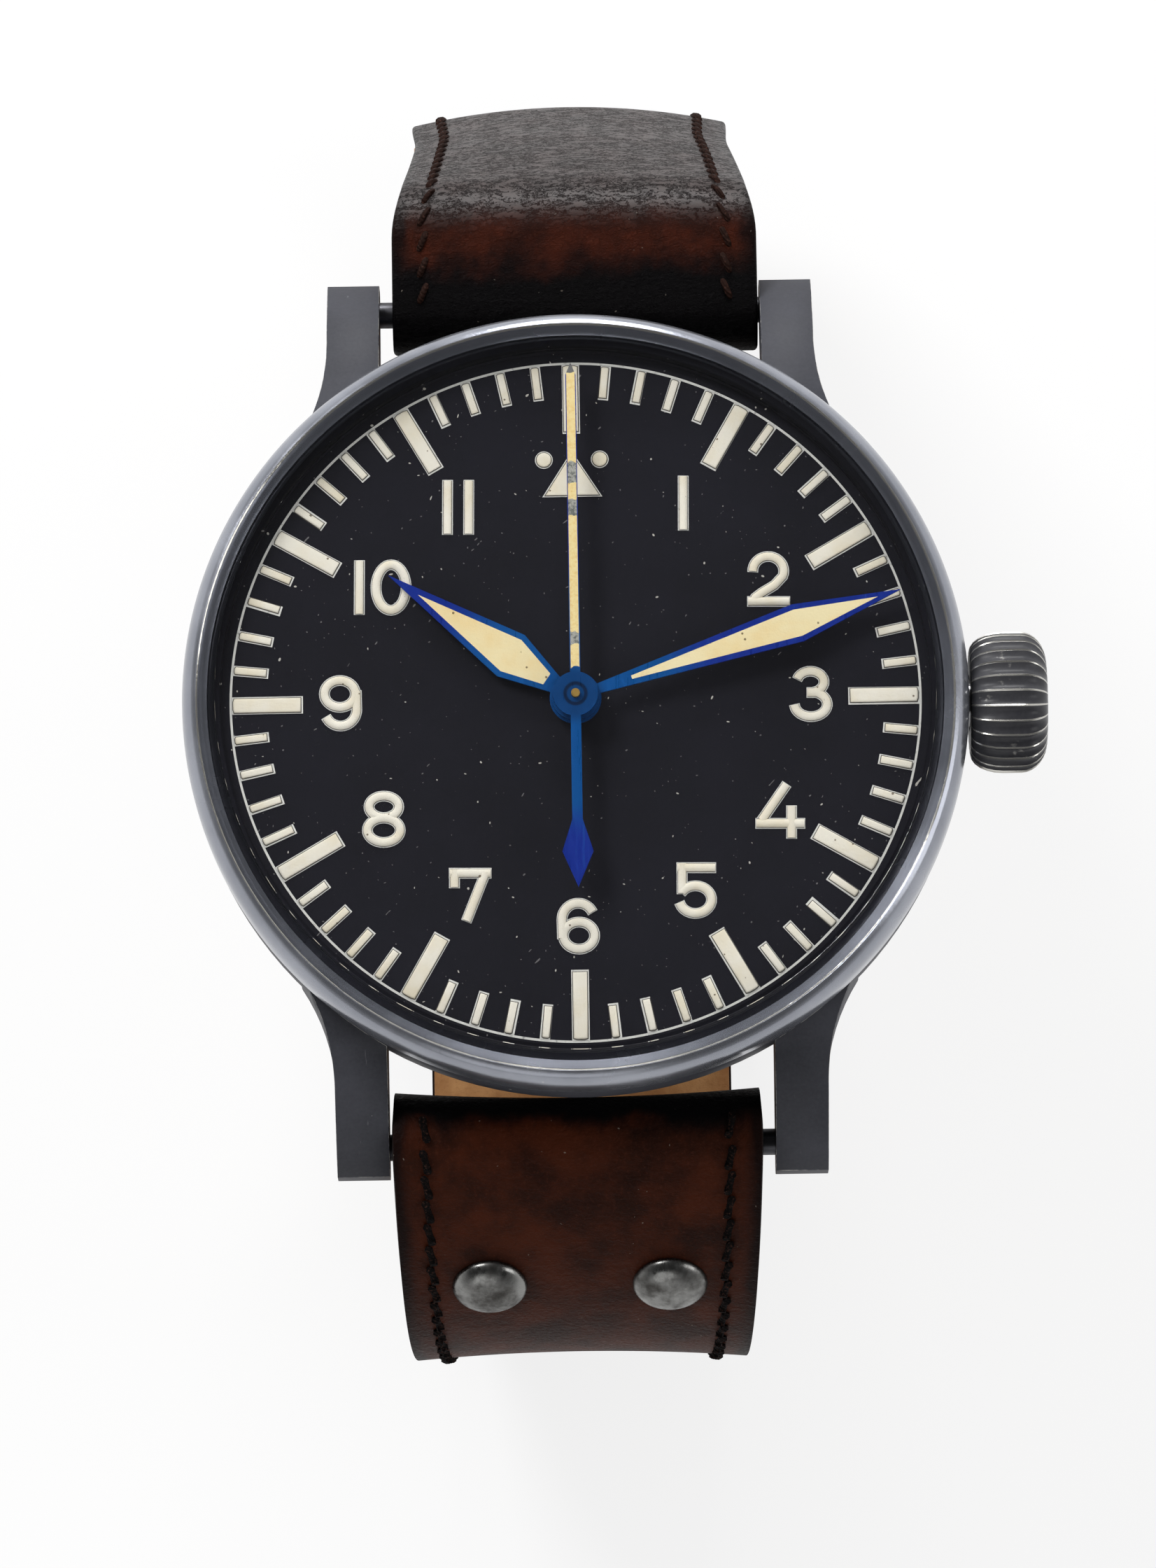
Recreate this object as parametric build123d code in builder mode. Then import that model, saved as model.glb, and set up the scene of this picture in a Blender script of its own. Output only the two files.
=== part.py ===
from build123d import *
from math import asin, atan2, cos, degrees, radians, sin, sqrt
import os

os.makedirs("parts", exist_ok=True)

# All lengths are in millimetres. Z runs out of the dial, Y to 12 o'clock, X to the crown.
# The origin is the centre of the case back's outer face.

# Shared fits and cuts
press_fit = 0.01
running_fit = 0.03
seat_play = 0.05
overrun = 2.0

# Case back, dust cover and movement heights, from the wrist side to the dial
back_thickness = 1.4
back_lap = 0.6
back_rib_height = 1.0
back_rib_wall = 1.4
back_edge_break = 0.3
back_slot_count = 6
back_slot_width = 3.0
back_slot_length = 2.2
back_slot_depth = 0.6
cover_thickness = 0.5
cover_air = 1.4
ratchet_thickness = 0.4
ratchet_air = 0.05
bridge_thickness = 0.75
train_height = 2.4
plate_thickness = 2.0
dial_thickness = 0.4
flange_height = 0.9

# Bezel, band and crystal
bezel_radius = 27.5
bezel_crest_inset = 1.1
bezel_flank_height = 1.3
bezel_foot_break = 0.4
bezel_slope_width = 0.7
bezel_slope_drop = 0.45
bezel_lap = 0.7
band_inset = 0.15
band_wall = 2.15
band_top_break = 0.25
band_tuck_height = 5.2
band_tuck_width = 1.0
crystal_edge_height = 1.4
crystal_bevel_width = 0.6
crystal_bevel_height = 1.3
crystal_dome_rise = 1.5
crystal_vault_height = 2.0
crystal_vault_rise = 0.8
crystal_rings = 4
flange_wall = 0.9
ring_wall = 1.65
plate_play = 0.1

# Lugs and the bars between them
lug_play = 1.1
lug_width = 3.7
lug_overhang = 2.1
lug_straight = 5.5
lug_flare_x_inset = 7.9
lug_flare_y_inset = 8.9
lug_root_inset = 12.5
lug_shoulder_inset = 9.5
lug_shoulder_drop = 0.5
lug_back_radius = 17.5
lug_hang = 1.2
lug_belly_inset = 5.5
lug_belly_lift = 0.2
lug_chin_radius = 0.8
bar_radius = 0.93
bar_offset = 2.5
bar_height = 1.2
bar_seat_depth = 1.6

# Crown, its tube and the stem
stem_drop = 2.7
stem_radius = 0.6
stem_pilot_radius = 0.35
stem_pilot_length = 2.5
stem_square = 0.84
crown_gap = 0.15
crown_length = 5.4
crown_radius = 4.95
crown_foot_radius = 3.6
crown_end_radius = 2.8
crown_flat_start = 2.3
crown_flat_end = 3.6
crown_rise_steps = 3
crown_fall_steps = 4
crown_flutes = 28
flute_steps = 4
flute_depth_share = 0.05
crown_pull = 0.8
tube_radius = 1.7
tube_wall = 0.65
tube_reach = 1.2
crown_socket_depth = 1.75
crown_socket_play = 0.3
keyless_slot_play = 0.2
stem_grip = 2.0

# Gear teeth: depths in modules, widths as shares of the pitch
wheel_tip_share = 0.85
wheel_root_share = 1.5
pinion_tip_share = 0.75
pinion_root_share = 1.3
tooth_top_share = 0.12
leaf_top_share = 0.14
leaf_foot_share = 0.5

# Going train
train_module = 0.20
fourth_module = 0.215
centre_teeth = 64
third_pinion_leaves = 8
third_teeth = 60
fourth_pinion_leaves = 8
fourth_teeth = 60
escape_pinion_leaves = 6
third_angle = 175.0
escape_angle = 240.0
barrel_angle = 45.0
barrel_module = 0.25
barrel_teeth = 72
centre_pinion_leaves = 12
wheel_thickness = 0.2
wheel_arms = 4
wheel_arm_width = 0.7
wheel_rim = 0.9
wheel_hub = 1.0
arbor_radius = 0.35
centre_arbor_radius = 0.62
fourth_arbor_radius = 0.3
arbor_shake = 0.02
centre_wheel_drop = 0.25
fourth_wheel_lift = 0.15
third_wheel_lift = 0.5
barrel_top_drop = 0.65
barrel_lift = 0.25
escape_wheel_drop = 0.7
pinion_overlap = 0.1

# Escapement and balance
escape_teeth = 15
escape_radius = 3.2
escape_root = 2.45
escape_lean = 11.0
escape_tooth_width = 5.0
escape_hub = 0.8
escape_arm_width = 0.4
escape_rim = 0.45
escape_line_lean = 5.0
pallet_reach = 3.7
pallet_hub = 0.4
pallet_swing_room = 0.3
pallet_arm_width = 0.5
pallet_span = 32.0
pallet_stone_length = 0.8
pallet_stone_width = 0.35
fork_length = 3.7
fork_width = 0.5
fork_horn = 0.9
fork_slot = 0.42
balance_offset = 5.2
balance_radius = 7.0
balance_rim = 0.9
balance_thickness = 0.4
balance_arm_width = 1.0
balance_hub = 1.1
balance_drop = 1.6
staff_radius = 0.3
roller_radius = 1.2
hairspring_thickness = 0.12
hairspring_height = 0.15
hairspring_first_radius = 1.2
hairspring_pitch = 0.45
hairspring_half_turns = 6
hairspring_drop = 0.25

# Barrel and winding work
drum_wall = 0.5
drum_floor = 0.35
drum_lid = 0.25
drum_tooth_rim = 0.4
barrel_arbor_radius = 0.9
hub_radius = 2.6
ratchet_cap_height = 0.3
ratchet_cap_wall = 0.6
mainspring_thickness = 0.3
mainspring_first_radius = 3.0
mainspring_pitch = 1.4
mainspring_half_turns = 6
ratchet_module = 0.25
ratchet_teeth = 44
crown_wheel_teeth = 28
crown_wheel_post = 0.75
winding_leaves = 20
winding_mesh = 0.1
winding_length = 1.5
winding_overlap = 0.1
winding_tooth = 0.45
sliding_radius = 1.6
sliding_length = 2.5
sliding_gap = 0.5
sliding_groove = 0.4
click_angle = 100.0
click_reach = 7.6
click_radius = 1.1
click_nose = 0.5
click_lead = 28.0

# Motion work under the dial
motion_module = 0.25
cannon_leaves = 10
minute_teeth = 30
minute_leaves = 8
hour_teeth = 32
minute_wheel_angle = 300.0
recess_depth = 1.0
recess_play = 0.35
motion_air = 0.05
cannon_height = 0.3
hour_wheel_lift = 0.2
cannon_wall = 0.3
hour_pipe_wall = 0.35
minute_post_radius = 0.5
minute_hub = 0.9

# Plates, feet, jewels and screws
foot_radius = 1.9
foot_inset = 2.8
barrel_feet_angles = (-25.0, 24.0, 82.0)
train_feet_angles = (131.0, 196.0)
cock_foot_angle = -80.0
bridge_seat = 3.0
train_seat = 2.0
train_bridge_lift = 0.1
train_bridge_thickness = 0.8
cock_lift = 0.2
cock_thickness = 0.8
cock_seat = 1.8
pallet_cock_thickness = 0.3
pallet_cock_air = 0.15
pallet_foot_radius = 1.2
pallet_foot_reach = 11.85
pallet_foot_angle = -85.0
pallet_seat = 1.0
jewel_radius = 0.65
jewel_height = 0.5
screw_head_radius = 1.1
screw_head_height = 0.5
screw_radius = 0.5
screw_bite = 1.0
screw_slot = 0.25
screw_slot_depth = 0.2
plate_foot_radius = 0.4
dial_foot_length = 1.2
dial_foot_inset = 3.0
dial_feet_angles = (40.0, 220.0)

# Hands
hand_thickness = 0.2
hour_hand_lift = 0.65
minute_hand_lift = 1.45
seconds_hand_lift = 2.3
seconds_pin_lift = 2.85
hour_hand_angle = 304.6
minute_hand_angle = 72.4
seconds_hand_angle = 0.0
hour_hand_length = 15.7
hour_hand_width = 3.48
hour_hand_belly = 5.4
hour_hand_neck = 1.3
hour_hub_radius = 1.8
hour_lume_start = 2.4
hour_lume_end = 13.2
hour_lume_width = 2.64
hour_lume_foot = 0.9
minute_hand_length = 23.9
minute_hand_width = 2.73
minute_hand_belly = 16.3
minute_hand_neck = 0.7
minute_hub_radius = 1.7
minute_lume_start = 4.1
minute_lume_foot = 0.25
minute_lume_end = 22.2
minute_lume_width = 1.95
seconds_hand_length = 23.6
seconds_hand_width = 0.72
seconds_hub_radius = 1.56
seconds_tip_length = 0.9
seconds_tail_length = 13.6
seconds_diamond_start = 8.85
seconds_diamond_belly = 11.1
seconds_diamond_width = 2.16
collar_wall = 0.4
collar_height = 0.35

# Strap: thicknesses, the route of each half, and what is on it
strap_width = 26.0
strap_narrowing = 4.0
leather_thickness = 1.5
lining_thickness = 0.7
eye_wall = 1.9
eye_play = 0.07
upper_shoulder_run = 5.1
upper_shoulder_radius = 5.0
upper_shoulder_turn = 67.0
upper_drop_run = 24.0
lower_slope = 30.0
lower_radius = 22.0
lower_taper_height = -19.0
lower_lead = 7.85
step_turn = 20.0
step_radius = 9.0
strap_gap = 0.5
tail_end = 31.0
tail_end_radius = 14.0
lining_setback = 3.3
buckle_eye_wall = 0.95
buckle_pin_radius = 0.72
tongue_slot_width = 2.4
tongue_slot_start = -8.4
tongue_slot_end = -1.4
tail_hole_radius = 1.0
tail_hole_first = 6.0
tail_hole_pitch = 7.5
tail_hole_count = 3
rivet_slope = 59.0
rivet_spacing = 12.75
rivet_head_radius = 2.65
rivet_head_height = 1.0
rivet_head_rim = 0.2
rivet_head_rings = 3
rivet_shank_radius = 0.9
rivet_burr_radius = 1.7
rivet_burr_height = 0.35
keeper_play = 0.15
keeper_wall = 1.2
keeper_length = 6.5
keeper_corner = 1.0
fixed_keeper_y = 10.0
sliding_keeper_y = 21.5
buckle_arm_width = 1.8
buckle_arm_play = 0.35
buckle_arm_radius = 1.25
buckle_reach = 12.5
tongue_width = 1.9
tongue_ring_wall = 0.65
tongue_thickness = 1.05
tongue_tip_overhang = 0.5
tongue_knee_inset = 0.7
tongue_seat = 0.1
tongue_notch_play = 0.12

# Heights worked out from the stack
cover_bottom = back_thickness + back_rib_height
ring_bottom = cover_bottom + cover_thickness
ratchet_bottom = ring_bottom + cover_air
ratchet_top = ratchet_bottom + ratchet_thickness
bridge_bottom = ratchet_top + ratchet_air
bridge_top = bridge_bottom + bridge_thickness
plate_bottom = bridge_top + train_height
dial_bottom = plate_bottom + plate_thickness
dial_top = dial_bottom + dial_thickness
crystal_bottom = dial_top + flange_height
crystal_joint = crystal_bottom + crystal_edge_height
bezel_top = crystal_joint + bezel_slope_drop
band_bottom = back_thickness - back_lap
band_top = dial_bottom - bezel_lap
stem_height = dial_bottom - stem_drop

# Radii worked out from the case
crystal_radius = bezel_radius - bezel_crest_inset - bezel_slope_width
flange_inner = crystal_radius - seat_play - flange_wall
band_radius = bezel_radius - band_inset
band_bore = band_radius - band_wall
ring_radius = band_bore - seat_play
ring_inner = ring_radius - ring_wall
plate_radius = ring_inner - plate_play
dial_radius = band_bore - plate_play
back_radius = band_radius - band_tuck_width - band_top_break - plate_play

# Lugs, bars and strap worked out from the case and the strap's width
bar_reach = bezel_radius + bar_offset
lug_reach = bar_reach + lug_overhang
lug_flare_x = bezel_radius - lug_flare_x_inset
lug_flare_y = bezel_radius - lug_flare_y_inset
lug_root_y = bezel_radius - lug_root_inset
lug_shoulder_y = bezel_radius - lug_shoulder_inset
lug_belly_y = bezel_radius - lug_belly_inset
lug_gap = strap_width + lug_play
strap_base_width = strap_width - strap_narrowing


def polar(radius, angle):
    """Return the point at a distance and an angle from the hand axis."""
    return (radius * cos(radians(angle)), radius * sin(radians(angle)))


def heading(start, end):
    """Return the direction in degrees from the first point to the second."""
    return degrees(atan2(end[1] - start[1], end[0] - start[0]))


def moved(point, distance, angle):
    """Return the point at a distance and an angle from another point."""
    step = polar(distance, angle)
    return (point[0] + step[0], point[1] + step[1])


def gap(first, second):
    """Return the distance between two points."""
    return sqrt((second[0] - first[0]) ** 2 + (second[1] - first[1]) ** 2)


def stem_plane(x):
    """Return the plane square to the stem at a distance along it."""
    return Plane(origin=(x, 0, stem_height), x_dir=(0, 1, 0), z_dir=(1, 0, 0))


def save(piece, name):
    """Name a finished piece and write it as its own file."""
    piece.part.label = name
    export_step(piece.part, f"parts/{name}.step")


# Drawing helpers: each works on the sketch or part that is open


def disc(centre, bottom, top, radius, mode=Mode.ADD):
    """Add or cut an upright cylinder between two heights."""
    with BuildSketch(Plane((*centre, bottom))) as face:
        Circle(radius)
    extrude(face.sketch, amount=top - bottom, mode=mode)


def toothed_face(teeth, tip, root, top_share, foot_share, phase):
    """Draw a toothed disc with the middle of one tooth on the phase angle."""
    pitch = 360 / teeth
    corners = []
    for tooth in range(teeth):
        middle = phase + tooth * pitch
        corners.append(polar(root, middle - pitch * foot_share / 2))
        corners.append(polar(tip, middle - pitch * top_share / 2))
        corners.append(polar(tip, middle + pitch * top_share / 2))
        if foot_share < 1:
            corners.append(polar(root, middle + pitch * foot_share / 2))
    with BuildLine() as outline:
        Polyline(*corners, close=True)
    make_face(outline.edges())


def spokes(rim, hub, width, count):
    """Cut the windows of a wheel and leave its hub and arms."""
    Circle(rim, mode=Mode.SUBTRACT)
    Circle(hub)
    for arm in range(count):
        Rectangle(rim + width / 2, width, rotation=arm * 360 / count, align=(Align.MIN, Align.CENTER))


def wheel(centre, bottom, teeth, module, phase):
    """Add a spoked wheel to the open part."""
    pitch_radius = teeth * module / 2
    root = pitch_radius - module * wheel_root_share
    with BuildSketch(Plane((*centre, bottom))) as face:
        toothed_face(teeth, pitch_radius + module * wheel_tip_share, root, tooth_top_share, 1, phase)
        spokes(root - wheel_rim, wheel_hub, wheel_arm_width, wheel_arms)
    extrude(face.sketch, amount=wheel_thickness)


def solid_wheel(centre, bottom, height, teeth, module, phase):
    """Add a toothed disc without windows to the open part."""
    pitch_radius = teeth * module / 2
    tip = pitch_radius + module * wheel_tip_share
    with BuildSketch(Plane((*centre, bottom))) as face:
        toothed_face(teeth, tip, pitch_radius - module * wheel_root_share, tooth_top_share, 1, phase)
    extrude(face.sketch, amount=height)


def pinion(centre, bottom, top, leaves, module, phase):
    """Add a small toothed cylinder to the open part."""
    pitch_radius = leaves * module / 2
    tip = pitch_radius + module * pinion_tip_share
    root = pitch_radius - module * pinion_root_share
    with BuildSketch(Plane((*centre, bottom))) as face:
        toothed_face(leaves, tip, root, leaf_top_share, leaf_foot_share, phase)
    extrude(face.sketch, amount=top - bottom)


def dome_points(reach, edge, rise, rings):
    """Return the points of a shallow dome's profile, from its middle to its edge."""
    ball = (reach * reach + rise * rise) / (2 * rise)
    points = []
    for ring in range(rings + 1):
        out = reach * ring / rings
        points.append((out, edge + rise - ball + sqrt(ball * ball - out * out)))
    return points


def bridge_plate(bottom, height, seats):
    """Add a flat plate whose outline wraps round a set of circles."""
    with BuildSketch(Plane.XY.offset(bottom)) as outline:
        for place, radius in seats:
            with Locations(place):
                Circle(radius)
        make_hull(outline.sketch_local.edges())
    extrude(outline.sketch, amount=height)


def ribbon(start, direction, runs, near, far):
    """Draw a band of even thickness along straight runs and arcs.

    A run is a length and no turn, or a radius and a turn in degrees. The band lies between two
    offsets to the left of the route.
    """
    ends = []
    with BuildLine() as outline:
        for shift in (near, far):
            angle = direction
            point = moved(start, shift, direction + 90)
            first = point
            for size, turn in runs:
                if turn == 0:
                    step = Line(point, moved(point, size, angle))
                else:
                    radius = size - shift if turn > 0 else size + shift
                    step = JernArc(point, polar(1, angle), radius, turn)
                end = step @ 1
                point = (end.X, end.Y)
                angle += turn
            ends.append((first, point))
        Line(ends[0][0], ends[1][0])
        Line(ends[0][1], ends[1][1])
    make_face(outline.edges())


def route_end(start, direction, runs):
    """Return the point at the end of a route."""
    point = start
    angle = direction
    for size, turn in runs:
        if turn == 0:
            point = moved(point, size, angle)
        else:
            side = 90 if turn > 0 else -90
            centre = moved(point, size, angle + side)
            angle += turn
            point = moved(centre, size, angle - side)
    return point


# Case back: a flat disc with key slots and a rib that presses on the dust cover
back_rib_outer = band_bore - plate_play
with BuildPart() as case_back:
    disc((0, 0), 0, back_thickness, back_radius)
    chamfer(case_back.edges().group_by(Axis.Z)[0], length=back_edge_break)
    disc((0, 0), back_thickness, cover_bottom, back_rib_outer)
    disc((0, 0), back_thickness, cover_bottom, back_rib_outer - back_rib_wall, Mode.SUBTRACT)
    with BuildSketch():
        with PolarLocations(back_radius, back_slot_count):
            Rectangle(2 * back_slot_length, back_slot_width)
    extrude(amount=back_slot_depth, mode=Mode.SUBTRACT)
save(case_back, "case_back")

# Dust cover of soft iron
with BuildPart() as dust_cover:
    disc((0, 0), cover_bottom, ring_bottom, ring_radius)
save(dust_cover, "dust_cover")

# Movement ring between the dust cover and the dial, with a way through for the stem
with BuildPart() as movement_ring:
    disc((0, 0), ring_bottom, dial_bottom, ring_radius)
    disc((0, 0), ring_bottom, dial_bottom, ring_inner, Mode.SUBTRACT)
    with BuildSketch(stem_plane(0)):
        Circle(stem_radius + plate_play)
    extrude(amount=ring_radius + overrun, mode=Mode.SUBTRACT)
save(movement_ring, "movement_ring")

# Case band with its four lugs
lug_half_gap = lug_gap / 2
lug_outer = lug_half_gap + lug_width
lug_shoulder_height = band_top - lug_shoulder_drop
lug_sweep = degrees(asin((lug_reach - lug_shoulder_y) / lug_back_radius))
with BuildPart() as case_band:
    with BuildSketch(Plane.XY.offset(-lug_hang)) as lug_plan:
        with BuildLine():
            tip = Polyline(
                (lug_flare_x, lug_root_y),
                (lug_half_gap, lug_root_y),
                (lug_half_gap, lug_reach),
                (lug_outer, lug_reach),
                (lug_outer, lug_reach - lug_straight),
            )
            flare = TangentArc(tip @ 1, (lug_flare_x, lug_flare_y), tangent=(0, -1))
            Line(flare @ 1, tip @ 0)
        make_face()
        mirror(about=Plane.YZ)
        mirror(about=Plane.XZ)
    extrude(amount=band_top + lug_hang)
    with BuildSketch(Plane.YZ.offset(-lug_flare_x)) as lug_side:
        with BuildLine():
            back = JernArc((lug_shoulder_y, lug_shoulder_height), (1, 0), lug_back_radius, -lug_sweep)
            chin = Line(back @ 1, (lug_reach, -lug_hang))
            belly = Line(chin @ 1, (lug_belly_y, band_bottom + lug_belly_lift))
            Polyline(
                belly @ 1,
                (lug_root_y, band_bottom + lug_belly_lift),
                (lug_root_y, lug_shoulder_height),
                back @ 0,
            )
        make_face()
        fillet(lug_side.vertices().sort_by(Axis.Y)[0:1], lug_chin_radius)
        mirror(about=Plane.YZ)
    extrude(amount=2 * lug_flare_x, mode=Mode.INTERSECT)
    with BuildSketch(Plane.XZ):
        with BuildLine():
            Polyline(
                (0, band_bottom),
                (band_radius - band_tuck_width, band_bottom),
                (band_radius, band_bottom + band_tuck_height),
                (band_radius, band_top - band_top_break),
                (band_radius - band_top_break, band_top),
                (0, band_top),
                close=True,
            )
        make_face()
    revolve(axis=Axis.Z)
    disc((0, 0), -lug_hang, band_top, band_bore, Mode.SUBTRACT)
    disc((0, 0), -lug_hang, back_thickness, back_radius + seat_play, Mode.SUBTRACT)
    with BuildSketch(stem_plane(0)):
        Circle(tube_radius + press_fit)
    extrude(amount=band_radius + overrun, mode=Mode.SUBTRACT)
    with BuildSketch(Plane.YZ.offset(-lug_half_gap - bar_seat_depth)):
        with Locations((bar_reach, bar_height), (-bar_reach, bar_height)):
            Circle(bar_radius + press_fit)
    extrude(amount=lug_gap + 2 * bar_seat_depth, mode=Mode.SUBTRACT)
save(case_band, "case_band")

# Fixed bars between the lugs
with BuildPart() as lug_bars:
    with BuildSketch(Plane.YZ.offset(-lug_half_gap - bar_seat_depth)):
        with Locations((bar_reach, bar_height), (-bar_reach, bar_height)):
            Circle(bar_radius)
    extrude(amount=lug_gap + 2 * bar_seat_depth)
save(lug_bars, "lug_bars")

# Bezel: rounded flank, narrow crest and a slope down to the crystal
bezel_crest = bezel_radius - bezel_crest_inset
bezel_flank_top = band_top + bezel_foot_break + bezel_flank_height
with BuildPart() as bezel:
    with BuildSketch(Plane.XZ):
        with BuildLine():
            flank = Polyline(
                (crystal_radius + press_fit, crystal_joint),
                (crystal_radius + press_fit, band_top),
                (bezel_radius - bezel_foot_break, band_top),
                (bezel_radius, band_top + bezel_foot_break),
                (bezel_radius, bezel_flank_top),
            )
            crown_line = TangentArc(flank @ 1, (bezel_crest, bezel_top), tangent=(0, 1))
            Line(crown_line @ 1, flank @ 0)
        make_face()
    revolve(axis=Axis.Z)
save(bezel, "bezel")

# Dark flange ring between the dial and the crystal
with BuildPart() as dial_flange:
    disc((0, 0), dial_top, crystal_bottom, crystal_radius - seat_play)
    disc((0, 0), dial_top, crystal_bottom, flange_inner, Mode.SUBTRACT)
save(dial_flange, "dial_flange")

# Crystal: a thick domed cup that stands above the bezel
bevel_radius = crystal_radius - crystal_bevel_width
bevel_top = crystal_joint + crystal_bevel_height
crystal_top = bevel_top + crystal_dome_rise
vault_edge = crystal_bottom + crystal_vault_height
with BuildPart() as crystal:
    with BuildSketch(Plane.XZ):
        with BuildLine():
            Polyline(
                (flange_inner, vault_edge),
                (flange_inner, crystal_bottom),
                (crystal_radius, crystal_bottom),
                (crystal_radius, crystal_joint),
                (bevel_radius, bevel_top),
            )
            dome = Polyline(*dome_points(bevel_radius, bevel_top, crystal_dome_rise, crystal_rings))
            vault = Polyline(*dome_points(flange_inner, vault_edge, crystal_vault_rise, crystal_rings))
            Line(dome @ 0, vault @ 0)
        make_face()
    revolve(axis=Axis.Z)
save(crystal, "crystal")

# Crown tube through the band
with BuildPart() as crown_tube:
    with BuildSketch(stem_plane(band_bore)):
        Circle(tube_radius)
        Circle(tube_radius - tube_wall, mode=Mode.SUBTRACT)
    extrude(amount=band_wall + tube_reach)
save(crown_tube, "crown_tube")

# Fluted onion crown on the stem axis
crown_start = bezel_radius + crown_gap
crown_fall_length = crown_length - crown_flat_end


def fluted_outline(radius):
    """Draw the crown's cross-section: concave flutes that meet in sharp ridges."""
    corners = []
    for corner in range(crown_flutes * flute_steps):
        across = 2 * (corner % flute_steps) / flute_steps - 1
        depth_share = flute_depth_share * (1 - across * across)
        corners.append(polar(radius * (1 - depth_share), corner * 360 / (crown_flutes * flute_steps)))
    with BuildLine() as outline:
        Polyline(*corners, close=True)
    make_face(outline.edges())


with BuildPart() as crown:
    for step in range(crown_rise_steps + 1):
        rise = sqrt(1 - (1 - step / crown_rise_steps) ** 2)
        with BuildSketch(stem_plane(crown_start + crown_flat_start * step / crown_rise_steps)) as ring:
            fluted_outline(crown_foot_radius + (crown_radius - crown_foot_radius) * rise)
    for step in range(crown_fall_steps + 1):
        fall = sqrt(1 - (step / crown_fall_steps) ** 2)
        reach = crown_flat_end + crown_fall_length * step / crown_fall_steps
        with BuildSketch(stem_plane(crown_start + reach)) as ring:
            fluted_outline(crown_end_radius + (crown_radius - crown_end_radius) * fall)
    loft(ruled=True)
    with BuildSketch(stem_plane(crown_start)):
        Circle(tube_radius + crown_socket_play)
    extrude(amount=crown_socket_depth, mode=Mode.SUBTRACT)
    with BuildSketch(stem_plane(crown_start)):
        Circle(stem_radius + press_fit)
    extrude(amount=crown_socket_depth + stem_grip, mode=Mode.SUBTRACT)
save(crown, "crown")

# Places of the movement's axes
centre = (0, 0)
third_distance = (centre_teeth + third_pinion_leaves) * train_module / 2
third_module = 2 * third_distance / (third_teeth + fourth_pinion_leaves)
third_place = polar(third_distance, third_angle)
escape_place = polar((fourth_teeth + escape_pinion_leaves) * fourth_module / 2, escape_angle)
escape_line = escape_angle + escape_line_lean
pallet_place = moved(escape_place, pallet_reach, escape_line)
balance_place = moved(pallet_place, balance_offset, escape_line)
barrel_place = polar((barrel_teeth + centre_pinion_leaves) * barrel_module / 2, barrel_angle)
ratchet_reach = (ratchet_teeth + crown_wheel_teeth) * ratchet_module / 2
crown_wheel_x = barrel_place[0] + sqrt(ratchet_reach**2 - barrel_place[1] ** 2)
crown_wheel_place = (crown_wheel_x, 0)
minute_place = polar((cannon_leaves + minute_teeth) * motion_module / 2, minute_wheel_angle)
hour_module = 2 * gap(centre, minute_place) / (minute_leaves + hour_teeth)
click_place = moved(barrel_place, click_reach, click_angle)

# Places along the stem
winding_radius = stem_height - ratchet_top + winding_mesh
crown_wheel_tip = ratchet_module * (crown_wheel_teeth / 2 + wheel_tip_share)
winding_start = crown_wheel_x + crown_wheel_tip - winding_overlap
sliding_start = winding_start + winding_length + sliding_gap
sliding_end = sliding_start + sliding_length
square_start = sliding_start - crown_pull - plate_play
square_end = sliding_end + plate_play
stem_end = crown_start + crown_socket_depth + stem_grip

# Winding stem: pilot, seat of the winding pinion, square and shank
with BuildPart() as stem:
    with BuildSketch(stem_plane(winding_start - stem_pilot_length)):
        Circle(stem_pilot_radius)
    extrude(amount=stem_pilot_length)
    with BuildSketch(stem_plane(winding_start)):
        Circle(stem_radius)
    extrude(amount=square_start - winding_start)
    with BuildSketch(stem_plane(square_start)):
        Rectangle(stem_square, stem_square)
    extrude(amount=square_end - square_start)
    with BuildSketch(stem_plane(square_end)):
        Circle(stem_radius)
    extrude(amount=stem_end - square_end)
save(stem, "stem")

# Winding pinion, round inside, with teeth that catch the crown wheel
with BuildPart() as winding_pinion:
    with BuildSketch(stem_plane(winding_start)):
        toothed_face(
            winding_leaves, winding_radius, winding_radius - winding_tooth, leaf_top_share, leaf_foot_share, 0
        )
        Circle(stem_radius + running_fit, mode=Mode.SUBTRACT)
    extrude(amount=winding_length)
save(winding_pinion, "winding_pinion")

# Sliding pinion, square inside, with the groove for its fork
with BuildPart() as sliding_pinion:
    with BuildSketch(stem_plane(sliding_start)):
        Circle(sliding_radius)
    extrude(amount=sliding_length)
    with BuildSketch(stem_plane(sliding_start + sliding_length / 2)):
        Circle(sliding_radius + overrun)
        Circle(sliding_radius - sliding_groove, mode=Mode.SUBTRACT)
    extrude(amount=sliding_groove, mode=Mode.SUBTRACT)
    with BuildSketch(stem_plane(sliding_start)):
        Rectangle(stem_square + 2 * running_fit, stem_square + 2 * running_fit)
    extrude(amount=sliding_length, mode=Mode.SUBTRACT)
save(sliding_pinion, "sliding_pinion")

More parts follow.
